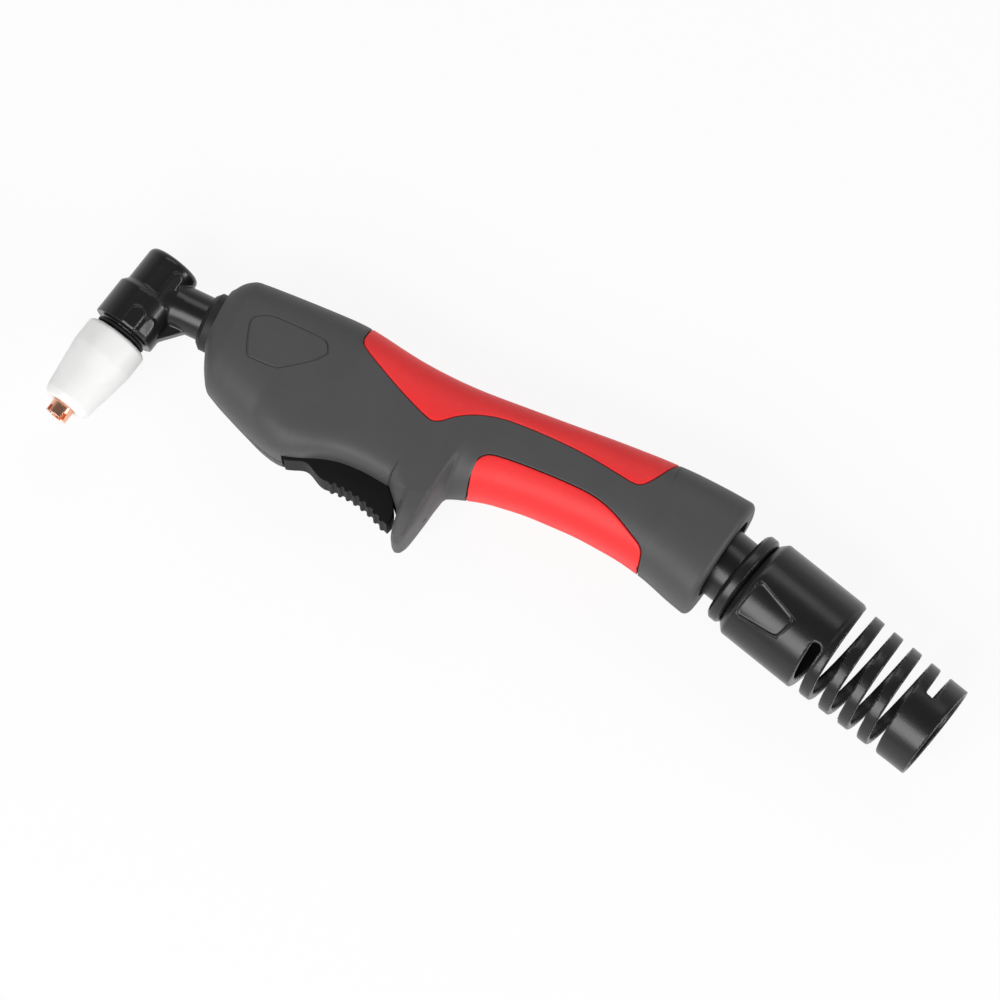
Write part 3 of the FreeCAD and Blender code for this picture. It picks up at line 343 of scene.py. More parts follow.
def finished(piece, body, slot, *nodes, crease=CREASE):
    """Gives a piece its finish, its body and the nodes it replaces; edges over the crease stay sharp."""
    mesh = piece.data
    mesh.shade_smooth()
    mesh.set_sharp_from_angle(angle=math.radians(crease))
    dress(piece, slot)
    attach(piece, body)
    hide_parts(*nodes)
    return piece


def rod(name, start, end, radius, sides=48):
    """Cylinder between two points: circles square to its line."""
    start, end = np.array(start, float), np.array(end, float)
    along = (end - start) / np.linalg.norm(end - start)
    across = np.cross(along, (0.0, 0.0, 1.0) if abs(along[2]) < 0.9 else (1.0, 0.0, 0.0))
    across /= np.linalg.norm(across)
    third = np.cross(along, across)
    angle = np.arange(sides) * TURN / sides
    circle = radius * (np.cos(angle)[:, None] * across + np.sin(angle)[:, None] * third)
    return loft(name, np.stack([start + circle, end + circle]))


def block(name, low, high):
    """Box between two corners."""
    low, high = np.array(low, float), np.array(high, float)
    square = np.array([(0, 0), (1, 0), (1, 1), (0, 1)], float)
    corners = low[1:] + square * (high - low)[1:]
    return loft(name, np.array([np.column_stack([np.full(4, x), corners]) for x in (low[0], high[0])]))


def cord_ring(name, path, radius, sides=8):
    """Thin closed tube round a closed path: circles of the radius square to the path."""
    along = np.roll(path, -1, 0) - np.roll(path, 1, 0)
    along /= np.linalg.norm(along, axis=1)[:, None]
    across = np.cross(along, (0.0, 0.0, 1.0))
    across /= np.linalg.norm(across, axis=1)[:, None]
    third = np.cross(along, across)
    angle = np.arange(sides) * TURN / sides
    cosine, sine = np.cos(angle)[None, :, None], np.sin(angle)[None, :, None]
    circle = cosine * across[:, None] + sine * third[:, None]
    return loft(name, path[:, None] + radius * circle, ring=True)


def through(points, per_span=10):
    """Smooth curve through points: each span is the cubic of a Catmull-Rom curve."""
    points = np.array(points, float)
    padded = np.vstack([2 * points[0] - points[1], points, 2 * points[-1] - points[-2]])
    before, start, end, after = padded[:-3], padded[1:-2], padded[2:-1], padded[3:]
    share = (np.arange(per_span) / per_span)[None, :, None]
    before, start, end, after = (row[:, None] for row in (before, start, end, after))
    straight = end - before
    curved = 2 * before - 5 * start + 4 * end - after
    turning = 3 * start - before - 3 * end + after
    spans = 0.5 * (2 * start + straight * share + curved * share ** 2 + turning * share ** 3)
    return np.vstack([spans.reshape(-1, points.shape[1]), points[-1:]])


def smooth_step(value, low, high):
    """0 below low, 1 above high, and 3t^2 - 2t^3 between."""
    share = np.clip((value - low) / (high - low), 0, 1)
    return share * share * (3 - 2 * share)


# ---- handle: its skin ---------------------------------------------------------------------------
# x, lower edge, upper edge and half width of each section
HANDLE_SECTIONS = [
    (27.4, -10.5, 13.0, 13.0), (29.0, -15.0, 16.2, 14.6), (30.8, -18.8, 18.2, 16.0),
    (34.1, -24.3, 20.3, 17.8), (41.0, -27.6, 20.9, 19.0), (50.0, -31.2, 21.5, 19.9),
    (60.0, -34.9, 22.1, 20.4), (69.5, -36.8, 22.6, 20.4), (77.0, -34.2, 22.8, 20.3),
    (85.0, -30.4, 22.0, 20.0), (93.0, -28.4, 20.7, 19.6), (103.0, -28.2, 19.5, 19.0),
    (113.0, -29.3, 19.1, 18.4), (120.0, -28.8, 19.1, 18.0), (127.0, -25.2, 19.3, 17.7),
    (135.0, -20.0, 19.9, 17.4), (145.0, -16.8, 20.8, 17.1), (160.0, -14.6, 22.1, 17.0),
    (180.0, -13.8, 24.0, 17.3), (197.0, -14.8, 25.2, 18.2), (210.0, -17.0, 25.6, 19.4),
    (222.0, -20.2, 25.1, 20.4), (232.0, -22.4, 24.3, 20.4), (242.0, -24.3, 23.2, 20.3),
]
# lower edge where the finger hook hangs below the handle
HOOK_EDGE = [
    (109.0, -26.0), (112.5, -29.8), (114.6, -32.0), (118.1, -35.7), (119.3, -38.3), (119.8, -43.3),
    (120.7, -46.0), (122.6, -47.4), (124.4, -46.8), (125.4, -45.4), (128.6, -31.0), (129.6, -28.2),
    (130.1, -24.4), (131.8, -21.9), (136.0, -18.0),
]
# how square the section is below its middle: 2 is an ellipse, more is squarer
LOW_SQUARENESS = [
    (27.4, 2.7), (56.0, 2.8), (68.0, 4.6), (80.0, 6.0), (118.0, 6.0), (126.5, 6.2), (128.6, 2.1),
    (131.0, 1.8), (137.0, 2.5), (242.0, 2.7),
]
SQUARENESS = 2.7       # above the middle
WIDE_BELL = 3.0        # softening of the section lines behind the nose
NARROW_BELL = 0.8      # and at the nose
HOOK_BELL = 0.3
CRISP_END = 36.0       # the nose's softening gives way to the wide one from here
SOFT_START = 50.0      # to here
PARTING = 0.02         # each half of the handle stops this far from the mid-plane
SHELL_WALL = 2.6
HOOK_TAPER = 0.13      # share of its width the hook has lost at the full taper depth
HOOK_TAPER_START = -28.0
HOOK_TAPER_DEPTH = 20.0
X_STEP = 0.25
X_GRID = np.arange(20.0, 250.0, X_STEP)


def softened(knots, width):
    """Straight lines through (x, value) knots, averaged under a bell of the given width."""
    places, values = np.array(knots).T
    reach = np.arange(-4 * width, 4 * width + X_STEP, X_STEP)
    weights = np.exp(-0.5 * (reach / width) ** 2)
    line = np.interp(X_GRID, places, values)
    side = len(reach) // 2
    padded = np.pad(line, side, mode="edge")
    return np.convolve(padded, weights / weights.sum(), mode="valid")[:len(X_GRID)]


def section_row(column):
    """One column of the sections along X_GRID, crisp at the nose and soft behind it."""
    knots = [(row[0], row[column]) for row in HANDLE_SECTIONS]
    soft = smooth_step(X_GRID, CRISP_END, SOFT_START)
    return softened(knots, NARROW_BELL) * (1 - soft) + softened(knots, WIDE_BELL) * soft


LOW_EDGE, HIGH_EDGE, HALF_WIDTH = (section_row(column) for column in (1, 2, 3))
ON_HOOK = (X_GRID > HOOK_EDGE[0][0]) & (X_GRID < HOOK_EDGE[-1][0])
HOOK_LINE = np.where(ON_HOOK, softened(HOOK_EDGE, HOOK_BELL), 0.0)
LOW_POWER = softened(LOW_SQUARENESS, NARROW_BELL)
FACE_TILT = -8.2                 # turn of the rear face's axis from the neck's axis, in degrees
BALL = np.array([220.5, 3.6, 0.0])
SOCKET_AXIS = bend(FACE_TILT)
SOCKET_UP = bend(FACE_TILT + 90)
SOCKET_FACE = 12.2               # from the ball's centre back to the rear face
FACE_X = BALL[0] + SOCKET_FACE / SOCKET_AXIS[0]
TILT_START = 200.0               # the sections lean from here back


def section_at(x, hooked=True):
    """Middle, heights above and below it, half width and lower squareness, at places on the handle."""
    rows = (LOW_EDGE, HIGH_EDGE, HALF_WIDTH, LOW_POWER)
    low, high, width, power = (np.interp(x, X_GRID, row) for row in rows)
    middle = (low + high) / 2
    if hooked:
        low = np.minimum(low, np.interp(x, X_GRID, HOOK_LINE))
    return middle, high - middle, middle - low, width, power


def skin(x, angle, inset, hooked=True):
    """Points of the handle's left half: a squared ellipse in polar form about the section's middle,
    radius = (|cos/width|^n + |sin/height|^n)^(-1/n), pulled in by the inset and narrowed down the
    hook. Towards the rear the sections lean until the last lies in the rear face."""
    middle, above, below, width, power = section_at(x, hooked)
    rising = np.sin(angle) >= 0
    height = np.where(rising, above, below) - inset
    power = np.where(rising, SQUARENESS, power)
    across = np.abs(np.cos(angle)) / (width - inset)
    upright = np.abs(np.sin(angle)) / height
    radius = (across ** power + upright ** power) ** (-1 / power)
    y = middle + radius * np.sin(angle)
    z = radius * np.cos(angle)
    z = z * (1 - HOOK_TAPER * np.clip((HOOK_TAPER_START - y) / HOOK_TAPER_DEPTH, 0, 1))
    lean = smooth_step(x, TILT_START, FACE_X)
    x = x + lean * (y - BALL[1]) * -SOCKET_AXIS[1] / SOCKET_AXIS[0]
    return np.stack(np.broadcast_arrays(x, y, np.maximum(z, PARTING)), -1)


def angle_at(x, y):
    """Polar angle of the skin at a place and a height, the reverse of skin()."""
    middle, above, below, width, power = section_at(x)
    rise = y - middle
    power = np.where(rise >= 0, SQUARENESS, power)
    share = np.clip(np.abs(rise) / np.where(rise >= 0, above, below), 0, 1)
    return np.arctan2(rise, width * (1 - share ** power) ** (1 / power))


# ---- handle: outlines of the soft grips -----------------------------------------------------------
UPPER_INLAY = [
    (80.2, 30.0), (80.2, 18.3), (80.5, 14.8), (82.6, 12.3), (91.4, 7.8), (103.0, 2.6), (112.4, -0.9),
    (115.9, -1.6), (119.0, -0.3), (124.0, 4.3), (131.3, 8.4), (141.2, 11.0), (157.0, 12.0),
    (172.0, 11.7), (184.0, 10.4), (192.0, 9.5), (195.6, 10.8), (199.2, 16.0), (204.6, 27.0),
]
LOWER_INLAY = [
    (139.2, -24.0), (138.1, -17.0), (136.9, -11.5), (137.0, -8.5), (139.0, -5.2), (143.0, -3.4),
    (155.0, -2.0), (170.0, -1.2), (181.0, -1.5), (190.0, -3.8), (199.4, -8.2), (204.2, -10.8),
    (206.2, -14.4), (207.6, -24.0),
]
# outline, which way its grip lies, and the stretches where the outline climbs steeply
INLAYS = {
    "upper": (UPPER_INLAY, 1, [(74.0, 88.0), (191.0, 210.0)]),
    "lower": (LOWER_INLAY, -1, [(133.5, 147.0), (197.0, 213.0)]),
}
NOSE_X = 27.4
INLAY_GAP = 0.35                 # a pocket's line lies this far outside its grip's line
POCKET_DEPTH = 1.65
GRIP_THICKNESS = 1.5
STEEP_WEIGHT = 0.6               # how much a climb counts in the distance that spreads the stations


class Border:
    """Line between the grey skin and one soft grip, and along the parting line where no grip is.

    It is read at stations. A station is the place x, except in the steep stretches, where stations
    are spread by distance along the line."""

    def __init__(self, place, gap):
        points, self.side, steep = INLAYS[place]
        edge = HIGH_EDGE if self.side > 0 else LOW_EDGE
        curve = through(points)
        ahead = np.gradient(curve, axis=0)
        ahead /= np.linalg.norm(ahead, axis=1)[:, None]
        outward = self.side * np.column_stack([ahead[:, 1], -ahead[:, 0]])
        curve = curve + outward * gap
        inside = self.side * (np.interp(curve[:, 0], X_GRID, edge) - curve[:, 1]) > 0
        curve, outward = curve[inside], outward[inside]
        front = np.arange(NOSE_X, curve[0, 0], X_STEP)
        rear = np.arange(curve[-1, 0], FACE_X + 1, X_STEP)[1:]
        self.x = np.concatenate([front, curve[:, 0], rear])
        plain = [np.column_stack([part, np.interp(part, X_GRID, edge)]) for part in (front, rear)]
        self.y = np.concatenate([plain[0][:, 1], curve[:, 1], plain[1][:, 1]])
        self.on = np.concatenate([front * 0, curve[:, 0] * 0 + 1, rear * 0])
        still = np.zeros((1, 2))
        self.outward = np.vstack([still.repeat(len(front), 0), outward, still.repeat(len(rear), 0)])
        self.station = self.x.copy()
        for start, end in steep:
            self.spread(start, end)
        grip = np.flatnonzero(self.on)[[0, -1]]
        self.ends = self.station[grip]
        self.seam_places = ([self.ends[0], steep[0][1], steep[1][0], self.ends[1]],
                            [self.x[grip[0]], steep[0][1], steep[1][0], self.x[grip[1]]])

    def spread(self, start, end):
        """Spreads the stations of a steep stretch by distance along the line."""
        first = np.argmax(self.x >= start)
        last = len(self.x) - 1 - np.argmax(self.x[::-1] <= end)
        stretch = slice(first, last + 1)
        length = np.hypot(np.diff(self.x[stretch]), STEEP_WEIGHT * np.diff(self.y[stretch]))
        share = np.concatenate([[0], np.cumsum(length)]) / length.sum()
        self.station[stretch] = self.x[first] + share * (self.x[last] - self.x[first])

    def read(self, station, row):
        """Value of one of the line's rows at a station."""
        return np.interp(station, self.station, row)

    def row(self, station, distance):
        """Place and angle of the skin at a distance to the grey side; below 0 is the grip's side."""
        x = self.read(station, self.x) + distance * self.read(station, self.outward[:, 0])
        y = self.read(station, self.y) + distance * self.read(station, self.outward[:, 1])
        height = section_at(x)[1 if self.side > 0 else 2]
        angle = angle_at(x, y) * self.side
        return x, self.side * np.minimum(angle, np.arctan2(height, abs(distance)))

    def on_grip(self, station):
        """Whether the line runs along its grip at a station."""
        return self.read(station, self.on) > 0.5

    def seam(self, station):
        """Place on the parting line across the grip from a station."""
        across = np.interp(station, *self.seam_places)
        return np.where(self.on_grip(station), across, self.read(station, self.x))


# ---- handle: its pieces -----------------------------------------------------------------------------
# distance from the line, inset along a grip's pocket, inset along the parting line
EDGE_ROWS = [(0.0, 0.30, 0.16), (0.06, 0.12, 0.09), (0.2, 0.03, 0.03), (0.45, 0.0, 0.0)]
FLOOR_ROWS = 7                   # columns over a grip's pocket
MAIN_ROWS = 78                   # columns over the grey skin
INNER_ROWS = 26                  # columns over the inner wall
NECK_HOLE = 8.66
NOSE_WALL_END = 31.0
CAVITY_END = 197.0
REAR_ROUND = 2.6
REAR_STEPS = 9
CHANNEL = 12.0                   # radius of the way through for the lead
SEAT = (-8.85, 5.55, 18.58)      # front, rear and radius of the ball seat's bore, from the ball's centre
MOUTH = 16.2                     # radius of the opening in the rear face
# start, end and spacing of the sections along the handle, up to its rounded rear edge
SPANS = [
    (NOSE_X, 45.0, 0.35), (45.0, 74.0, 0.8), (74.0, 88.0, 0.3), (88.0, 117.5, 0.8),
    (117.5, 137.0, 0.16), (137.0, 148.0, 0.35), (148.0, 191.0, 0.9), (191.0, 214.0, 0.35),
    (214.0, FACE_X - REAR_ROUND, 0.8),
]
STEP_HALF = 0.01                 # two sections this far either side of each step in the inner wall


def stations():
    """Stations along the handle, and how far the rounded rear edge pulls the skin in at each."""
    places = np.concatenate([np.arange(start, end, step) for start, end, step in SPANS])
    steps = [NOSE_WALL_END, CAVITY_END] + [FACE_X - SOCKET_FACE + place for place in SEAT[:2]]
    pairs = [[place - STEP_HALF, place + STEP_HALF] for place in steps]
    places = np.sort(np.concatenate([places] + pairs))
    turn = np.linspace(0, math.pi / 2, REAR_STEPS)
    rim = FACE_X - REAR_ROUND * (1 - np.sin(turn))
    pulled_in = np.concatenate([places * 0, REAR_ROUND * (1 - np.cos(turn))])
    return np.concatenate([places, rim]), pulled_in


def inner_wall(station, angle):
    """Inside of the shell: neck hole, cavity under the skin, lead channel, ball seat and mouth."""
    across, upright = np.cos(angle), np.sin(angle)
    along = station - FACE_X + SOCKET_FACE
    radius = np.select([along < SEAT[0], along < SEAT[1]], [CHANNEL, SEAT[2]], MOUTH)
    centre = BALL + along[..., None] * SOCKET_AXIS
    outwards = upright[..., None] * SOCKET_UP + across[..., None] * FLANK
    socket = centre + radius[..., None] * outwards
    neck = np.stack([station, NECK_HOLE * upright, NECK_HOLE * across], -1)
    cavity = skin(station, angle, SHELL_WALL, hooked=False)
    front = (station < NOSE_WALL_END)[..., None]
    rear = (station > CAVITY_END)[..., None]
    wall = np.where(front, neck, np.where(rear, socket, cavity))
    return np.stack([wall[..., 0], wall[..., 1], np.maximum(wall[..., 2], PARTING)], -1)


def grooved_border(border, station, rim):
    """Columns of skin points from the parting line over a grip's pocket and groove to the grey skin,
    and the place and angle of the last column."""
    on = border.on_grip(station)
    seam_x, seam_angle = border.seam(station), border.side * math.pi / 2
    edge_x, edge_angle = border.row(station, 0.0)
    columns = []
    for share in np.linspace(1, 0, FLOOR_ROWS):
        x = edge_x + (seam_x - edge_x) * share
        angle = edge_angle + (seam_angle - edge_angle) * share
        columns.append(skin(x, angle, rim + np.where(on, POCKET_DEPTH, EDGE_ROWS[0][2])))
    for distance, groove, parting in EDGE_ROWS:
        x, angle = border.row(station, distance)
        columns.append(skin(x, angle, rim + np.where(on, groove, parting)))
    return columns, x, angle


def half_shell(name, hand):
    """One half of the handle: each station is a closed loop, out over the skin and back inside."""
    station, rim = stations()
    low, low_x, low_angle = grooved_border(Border("lower", INLAY_GAP), station, rim)
    high, high_x, high_angle = grooved_border(Border("upper", INLAY_GAP), station, rim)
    share = np.linspace(0, 1, MAIN_ROWS)[1:-1]
    main = []
    for part in share:
        x = low_x + (high_x - low_x) * part
        angle = low_angle + (high_angle - low_angle) * part
        main.append(skin(x, angle, rim))
    back = np.linspace(math.pi / 2, -math.pi / 2, INNER_ROWS)
    inside = [inner_wall(station, np.full_like(station, angle)) for angle in back]
    loops = np.stack(low + main + high[::-1] + inside, 1)
    return loft(name, loops * (1, 1, hand))


TRIGGER_SLOT = ((71.2, -70.0, -8.6), (119.45, -21.2, 8.6))      # two corners of a box
# place, height, and where the counterbore ends, on the right flank
SCREWS = [
    (50.0, 14.2, -11.0), (50.0, -20.5, -11.0), (124.4, -32.0, -5.0), (127.0, -14.0, -11.0),
    (207.0, 21.2, -8.0),
]
BOSS_RADIUS = 4.0
BOSS_COVER = 0.8                 # skin left over a boss
BOSS_LEAST = 4 * PARTING         # a boss stands at least this high
COUNTERBORE = 3.05
SCREW_HOLE = 1.6
CLEAR_OUTSIDE = -40.0            # beyond the right flank
CUT_LAP = 1.0                    # a screw hole runs this far past the counterbore and the mid-plane
# outline of the bare badge place: place and height on the flank
BADGE = [
    (44.2, 7.2), (48.0, 8.1), (64.8, 8.3), (68.8, 7.4), (70.8, 4.7), (70.6, 2.9), (67.6, -0.9),
    (58.2, -8.3), (55.2, -9.4), (47.4, -9.7), (44.4, -8.6), (40.6, 1.1), (40.9, 4.6),
]
BADGE_LINE = 0.5                 # radius of the cord that cuts the line


def on_flank(x, y, hand):
    """Point of the handle's skin at a place and height, on the left flank if hand is 1."""
    return skin(x, angle_at(x, y), 0.0) * (1, 1, hand)


def badge_line(hand):
    """Closed line in the flank round a bare badge place."""
    outline = through(BADGE + BADGE[:1], 8)[:-1]
    return cord_ring("badge_line", on_flank(outline[:, 0], outline[:, 1], hand), BADGE_LINE)


def screw_boss(x, y, hand, sides=32):
    """Round post from the parting plane up to just under the skin, which its upper end follows."""
    angle = np.arange(sides) * TURN / sides
    x, y = x + BOSS_RADIUS * np.cos(angle), y + BOSS_RADIUS * np.sin(angle)
    height = np.maximum(on_flank(x, y, 1)[:, 2] - BOSS_COVER, BOSS_LEAST)
    foot = np.column_stack([x, y, np.full(sides, hand * PARTING)])
    return loft("boss", np.stack([foot, np.column_stack([x, y, hand * height])]))


def shells():
    """Both handle shells: trigger slot and badge line; on the right the screw bosses and their holes."""
    for name, hand in (("left", 1), ("right", -1)):
        shell = half_shell("handle_shell_" + name, hand)
        carve(shell, block("slot", *TRIGGER_SLOT))
        carve(shell, badge_line(hand))
        if hand < 0:
            for x, y, _ in SCREWS:
                carve(shell, screw_boss(x, y, hand), "UNION")
            for x, y, seat in SCREWS:
                carve(shell, rod("counterbore", (x, y, CLEAR_OUTSIDE), (x, y, seat), COUNTERBORE))
                carve(shell, rod("screw_hole", (x, y, seat - CUT_LAP), (x, y, CUT_LAP), SCREW_HOLE))
        finished(shell, "torch", "handle_grey", "handle_" + name)


# distance from the line and inset, over a grip's rounded edge and beside the parting line
GRIP_EDGE_ROWS = [(0.0, 0.62), (-0.07, 0.3), (-0.22, 0.1), (-0.6, 0.0)]
SEAM_EDGE_ROWS = [(0.45, 0.0), (0.2, 0.03), (0.06, 0.09), (0.0, 0.16)]
GRIP_ROWS = 30
END_GAP = 0.02                   # no station lies closer than this to a grip's ends


def soft_grip(name, place, hand):
    """One soft grip: closed loops from its rounded edge over the skin to the parting line and back."""
    border = Border(place, 0.0)
    every = stations()[0]
    inside = every[(every > border.ends[0] + END_GAP) & (every < border.ends[1] - END_GAP)]
    station = np.concatenate([border.ends[:1], inside, border.ends[1:]])
    seam_x, seam_angle = border.seam(station), border.side * math.pi / 2
    rows = []
    for distance, inset in GRIP_EDGE_ROWS:
        x, angle = border.row(station, distance)
        rows.append((x, angle, inset))
    height = section_at(seam_x)[1 if border.side > 0 else 2]
    last = border.side * np.arctan2(height, SEAM_EDGE_ROWS[0][0])
    for share in np.linspace(0, 1, GRIP_ROWS)[1:-1]:
        rows.append((x + (seam_x - x) * share, angle + (last - angle) * share, 0.0))
    for distance, inset in SEAM_EDGE_ROWS:
        rows.append((seam_x, border.side * np.arctan2(height, distance), inset))
    edge_x, edge_angle = rows[0][:2]
    for share in np.linspace(1, 0, GRIP_ROWS // 2):
        inner_x = edge_x + (seam_x - edge_x) * share
        inner_angle = edge_angle + (seam_angle - edge_angle) * share
        rows.append((inner_x, inner_angle, GRIP_THICKNESS))
    loops = np.stack([skin(*row) for row in rows], 1)
    return loft(name, loops * (1, 1, hand))


def grips():
    """Four soft grips."""
    for place in INLAYS:
        for name, hand in (("left", 1), ("right", -1)):
            grip = soft_grip("soft_grip_%s_%s" % (place, name), place, hand)
            finished(grip, "torch", "grip_red", "%s_grip_%s" % (place, name))


# ---- softened moulded pieces ------------------------------------------------------------------------
# cell of the skin in millimetres and rounds of relaxing, for each piece
SOFTNESS = {
    "head_body": (0.36, 5),
    "cable_support": (0.47, 9),
    "retaining_cup": (0.36, 8),
    "swivel_knuckle": (0.38, 3),
    "trigger": (0.25, 3),
}
RELAX_SHARE = 0.5                # of the way to its neighbours' middle that a point moves in a round
SOFT_CREASE = 60                 # degrees
SUPPORT_CREASE = 75
HEAD_LEAN = 11.0
HEAD_UP = bend(90 - HEAD_LEAN)
HEAD_SIDE = bend(-HEAD_LEAN)     # towards the neck
CAP_RADIUS = 10.8
SKIRT_RADIUS = 12.6
# place along the neck and radius
NECK_FLARE = [(6.0, 10.2), (10.0, 8.95), (14.0, 8.55)]
FLARE_SIDES = 48
LUG_ROOT = 1.2                   # how far a lug reaches into the wall it stands on
LUG_ROUND = 0.4                  # depth of the slope round a lug's face
LUG_FACE = 0.86                  # size of a lug's face against its foot
ARCH_SHARE = 0.8                 # height of a lug's round top against its half width
ARCH_POINTS = 13
# turn from the flank, half turn, foot, top, radius inside the wall, radius of the face
HEAD_LUGS = [
    (39.0, 11.5, -17.0, -9.3, SKIRT_RADIUS - LUG_ROOT, SKIRT_RADIUS + 1.1),      # round-topped tab
    (12.0, 13.0, -17.2, -8.6, SKIRT_RADIUS - LUG_ROOT, SKIRT_RADIUS + 0.6),      # broad low panel
    (31.0, 12.0, -4.0, 10.5, CAP_RADIUS - LUG_ROOT, CAP_RADIUS + 1.3),           # pillar up the cap
]


def copy_of(node, extras=()):
    """Copy of a CAD node's mesh, with its face borders merged and extras put in with it."""
    source = NODES[node]
    piece = bpy.data.objects.new(node + "_soft", source.data.copy())
    piece.data.transform(source.matrix_world)
    bpy.context.scene.collection.objects.link(piece)
    shell = bmesh.new()
    shell.from_mesh(piece.data)
    for extra in extras:
        shell.from_mesh(extra.data)
        bpy.data.objects.remove(extra)
    bmesh.ops.remove_doubles(shell, verts=shell.verts, dist=COPY_WELD)
    shell.to_mesh(piece.data)
    shell.free()
    return piece


def soft_copy(node, extras=()):
    """Copy of a CAD node and its extras as one skin of small squares, relaxed so that edges are soft."""
    cell, rounds = SOFTNESS[node]
    piece = copy_of(node, extras)
    remesh = piece.modifiers.new("squares", "REMESH")
    remesh.mode = "VOXEL"
    remesh.voxel_size = cell * MM
    relax = piece.modifiers.new("relax", "SMOOTH")
    relax.factor = RELAX_SHARE
    relax.iterations = rounds
    return settle(piece)


def lug(turn, half_turn, foot, top, inner, outer):
    """Raised pad on the head with a round top, centred at a turn from the left flank to the neck."""
    arch = np.radians(np.linspace(0, 180, ARCH_POINTS))
    across = np.concatenate([[-1.0, 1.0], np.cos(arch)]) * half_turn
    rise = min(top - foot, math.radians(half_turn) * outer) * ARCH_SHARE
    height = np.concatenate([[foot, foot], top - rise + rise * np.sin(arch)])
    middle = (foot + top) / 2
    loops = []
    for radius, grow in ((inner, 1.0), (outer - LUG_ROUND, 1.0), (outer, LUG_FACE)):
        angle = np.radians(turn + across * grow)[:, None]
        level = (middle + (height - middle) * grow)[:, None]
        loops.append(radius * (np.sin(angle) * HEAD_SIDE + np.cos(angle) * FLANK) + level * HEAD_UP)
    return loft("lug", np.array(loops))


def head():
    """Head moulding: lugs on both flanks and a flare where the neck leaves the cap."""
    extras = []
    for turn, half_turn, foot, top, inner, outer in HEAD_LUGS:
        for side in (turn, 180 - turn):
            extras.append(lug(side, half_turn, foot, top, inner, outer))
    angle = np.arange(FLARE_SIDES) * TURN / FLARE_SIDES
    circle = np.column_stack([angle * 0, np.cos(angle), np.sin(angle)])
    flare = [circle * radius + (place, 0, 0) for place, radius in NECK_FLARE]
    extras.append(loft("flare", np.array(flare)))
    piece = soft_copy("head_body", extras)
    finished(piece, "torch", "head_plastic", "head_body", crease=SOFT_CREASE)


SUPPORT_LEAN = -13.6
SUPPORT_AXIS = bend(SUPPORT_LEAN)
SUPPORT_UP = bend(SUPPORT_LEAN + 90)
SLEEVE_RADIUS = 20.4
# outline of a sunk pad on the opened-out sleeve: along its axis, and round it
PAD = [
    (31.0, -0.5), (46.5, -3.4), (48.2, -5.2), (46.9, -12.6), (45.2, -13.9), (30.4, -16.2),
    (29.0, -14.9), (29.4, -2.2),
]
PAD_TURNS = (0.0, 120.0, -120.0)
PAD_LINE = 0.32                  # radius of the cord that cuts the line round a pad
PAD_SINK = 0.5
PAD_EDGE = 0.8                   # the sinking is complete this far inside the outline
PAD_WALL = 2 * PAD_SINK          # only the outermost skin, this deep, is moved


def round_sleeve(along, turn, radius):
    """Point at a place along the support's axis, a turn in degrees from the left flank, and a radius."""
    turn = np.radians(turn)[:, None]
    return along[:, None] * SUPPORT_AXIS + radius * (np.sin(turn) * SUPPORT_UP + np.cos(turn) * FLANK)


def in_outline(points, outline):
    """1 well inside a convex outline, falling to 0 at its line."""
    ahead = np.roll(outline, -1, 0) - outline
    ahead /= np.linalg.norm(ahead, axis=1)[:, None]
    away = points[:, None] - outline[None]
    depth = ahead[:, 0] * away[..., 1] - ahead[:, 1] * away[..., 0]
    inside = np.all(np.sign(depth) == np.sign(depth[:, :1]), axis=1)
    return np.where(inside, smooth_step(np.abs(depth).min(axis=1), 0.0, PAD_EDGE), 0.0)


def support():
    """Cable support, its edges soft, with three sunk pads round its sleeve and a fine line round each."""
    piece = soft_copy("cable_support")
    points = np.zeros(len(piece.data.vertices) * 3)
    piece.data.vertices.foreach_get("co", points)
    place = (points.reshape(-1, 3) - ORIGIN) / MM - BALL
    along, rise, side = place @ SUPPORT_AXIS, place @ SUPPORT_UP, place @ FLANK
    radius = np.hypot(rise, side)
    turn = np.degrees(np.arctan2(rise, side))
    for pad in PAD_TURNS:
        height = np.radians((turn - pad + 180) % 360 - 180) * SLEEVE_RADIUS
        share = in_outline(np.column_stack([along, height]), np.array(PAD))
        radius = radius - PAD_SINK * share * (radius > SLEEVE_RADIUS - PAD_WALL)
    place = BALL + round_sleeve(along, turn, radius[:, None])
    piece.data.vertices.foreach_set("co", (ORIGIN + place * MM).ravel())
    curve = through(PAD + PAD[:1], 8)[:-1]
    for pad in PAD_TURNS:
        turn = np.degrees(curve[:, 1] / SLEEVE_RADIUS) + pad
        line = BALL + round_sleeve(curve[:, 0], turn, SLEEVE_RADIUS)
        carve(piece, cord_ring("pad_line", line, PAD_LINE))
    finished(piece, "support", "support_plastic", "cable_support", crease=SUPPORT_CREASE)


def small_mouldings():
    """Cup, ball knuckle and trigger with soft edges."""
    for node, body, slot in (
        ("retaining_cup", "cup", "ceramic"),
        ("swivel_knuckle", "knuckle", "support_plastic"),
        ("trigger", "trigger_lever", "trigger_plastic"),
    ):
        finished(soft_copy(node), body, slot, node, crease=SOFT_CREASE)


shells()
grips()
head()
support()
small_mouldings()


# ---- stage --------------------------------------------------------------------------------------
def seen_directly(tree):
    """1 for what the camera, a reflection or glass sees, 0 for light that lands on the object."""
    path = tree.add("ShaderNodeLightPath")
    outputs = path.socket.node.outputs
    total = 0
    for name in ("Is Camera Ray", "Is Glossy Ray", "Is Transmission Ray"):
        total = Field(tree, outputs[name]) + total
    return total.clamped()


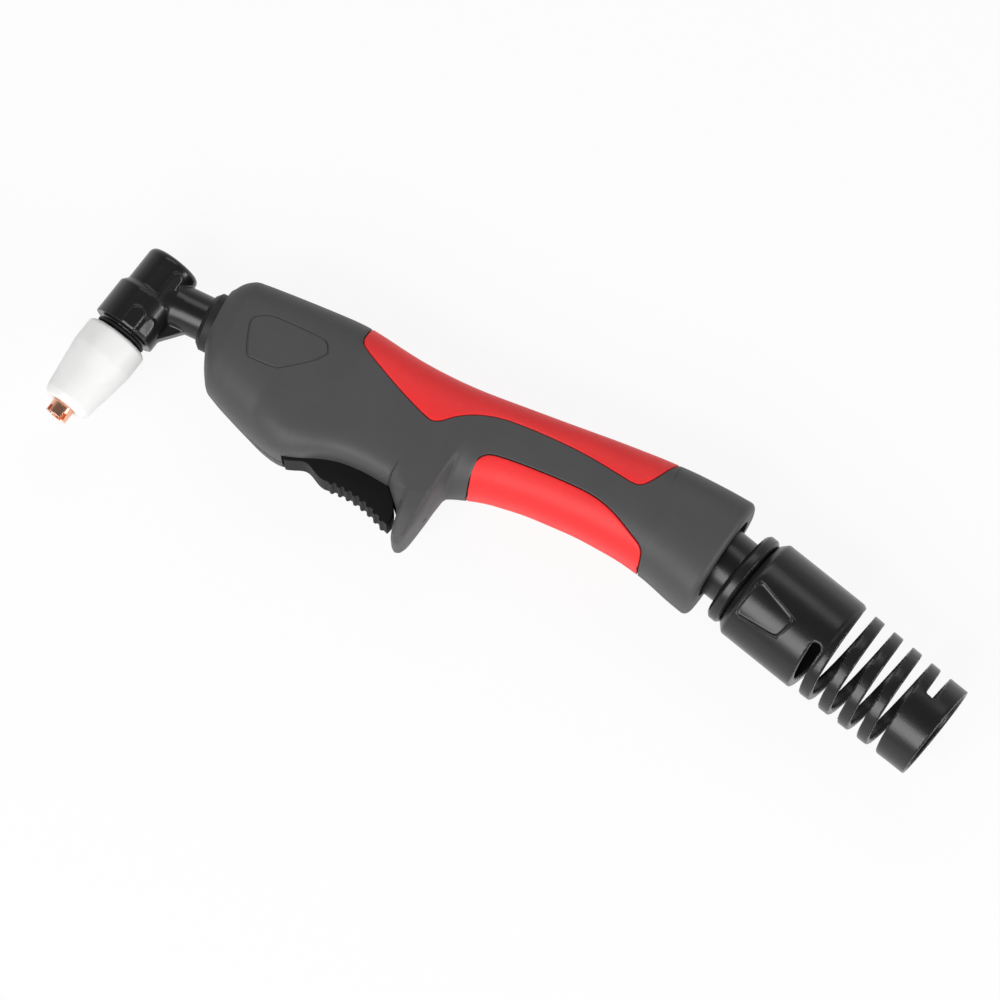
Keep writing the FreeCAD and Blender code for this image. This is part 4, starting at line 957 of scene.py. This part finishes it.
def paper_floor():
    """Pale floor under the torch, see-through from below."""
    size = FLOOR_HALF
    corners = [(-size, -size, 0), (size, -size, 0), (size, size, 0), (-size, size, 0)]
    mesh = bpy.data.meshes.new("floor")
    mesh.from_pydata([(x, y, -FLOOR_GAP) for x, y, z in corners], [], [(0, 1, 2, 3)])
    floor = bpy.data.objects.new("floor", mesh)
    bpy.context.scene.collection.objects.link(floor)
    paper = bpy.data.materials.new("paper")
    tree = Tree(paper)
    output = tree.nodes["Material Output"]
    tree.nodes.remove(tree.nodes["Principled BSDF"])
    matt = tree.add("ShaderNodeBsdfDiffuse", {}, {"Color": rgba(PAPER)})
    white = tree.add("ShaderNodeEmission", {}, {"Color": rgba((1, 1, 1)), "Strength": 1.0})
    lit = tree.add("ShaderNodeMixShader", {}, {0: seen_directly(tree) * PAPER_GLOW, 1: matt, 2: white})
    below = tree.add("ShaderNodeNewGeometry", {}, {}, output="Backfacing")
    clear = tree.add("ShaderNodeBsdfTransparent")
    tree.feed(output.inputs["Surface"], tree.add("ShaderNodeMixShader", {}, {0: below, 1: lit, 2: clear}))
    mesh.materials.append(paper)


def studio_world():
    """White at the horizon, dimmer overhead, so that black plastic keeps its depth."""
    world = bpy.data.worlds.new("studio")
    bpy.context.scene.world = world
    tree = Tree(world)
    way = tree.add("ShaderNodeTexCoord", {}, {}, output="Generated")
    height = tree.add("ShaderNodeSeparateXYZ", {}, {"Vector": way}, output="Z")
    level = HORIZON + height.steps(0.15, 0.75) * (ZENITH - HORIZON)
    tree.feed(tree.nodes["Background"].inputs["Strength"], level)
    tree.nodes["Background"].inputs["Color"].default_value = rgba((1, 1, 1))


def softbox(name, azimuth, elevation, distance, size, power):
    """Rectangular lamp at a direction from the torch, facing it."""
    lamp = bpy.data.lights.new(name, "AREA")
    lamp.shape = "RECTANGLE"
    lamp.size, lamp.size_y = size
    lamp.energy = power
    box = bpy.data.objects.new(name, lamp)
    bpy.context.scene.collection.objects.link(box)
    away = away_from_torch(azimuth, elevation)
    box.location = Vector(AIM) + away * distance
    box.rotation_euler = away.to_track_quat("Z", "Y").to_euler()


def away_from_torch(azimuth, elevation):
    """Unit vector towards a viewer; azimuth 0 looks along +Y and 90 along -X."""
    turn, rise = math.radians(azimuth), math.radians(elevation)
    return Vector((math.sin(turn) * math.cos(rise), -math.cos(turn) * math.cos(rise), math.sin(rise)))


def camera():
    """Camera high over the left flank of the torch."""
    lens = bpy.data.cameras.new("camera")
    lens.lens = CAMERA_LENS
    lens.sensor_width = SENSOR
    viewer = bpy.data.objects.new("camera", lens)
    bpy.context.scene.collection.objects.link(viewer)
    away = away_from_torch(CAMERA_AZIMUTH, CAMERA_ELEVATION)
    viewer.location = Vector(AIM) + away * CAMERA_DISTANCE
    viewer.rotation_euler = away.to_track_quat("Z", "Y").to_euler()
    bpy.context.scene.camera = viewer


bpy.context.scene.view_settings.view_transform = "Standard"
paper_floor()
studio_world()
for lamp in LAMPS:
    softbox(*lamp)
camera()

# ---- scene brought up to date ----------------------------------------------------------------------
bpy.context.view_layer.update()
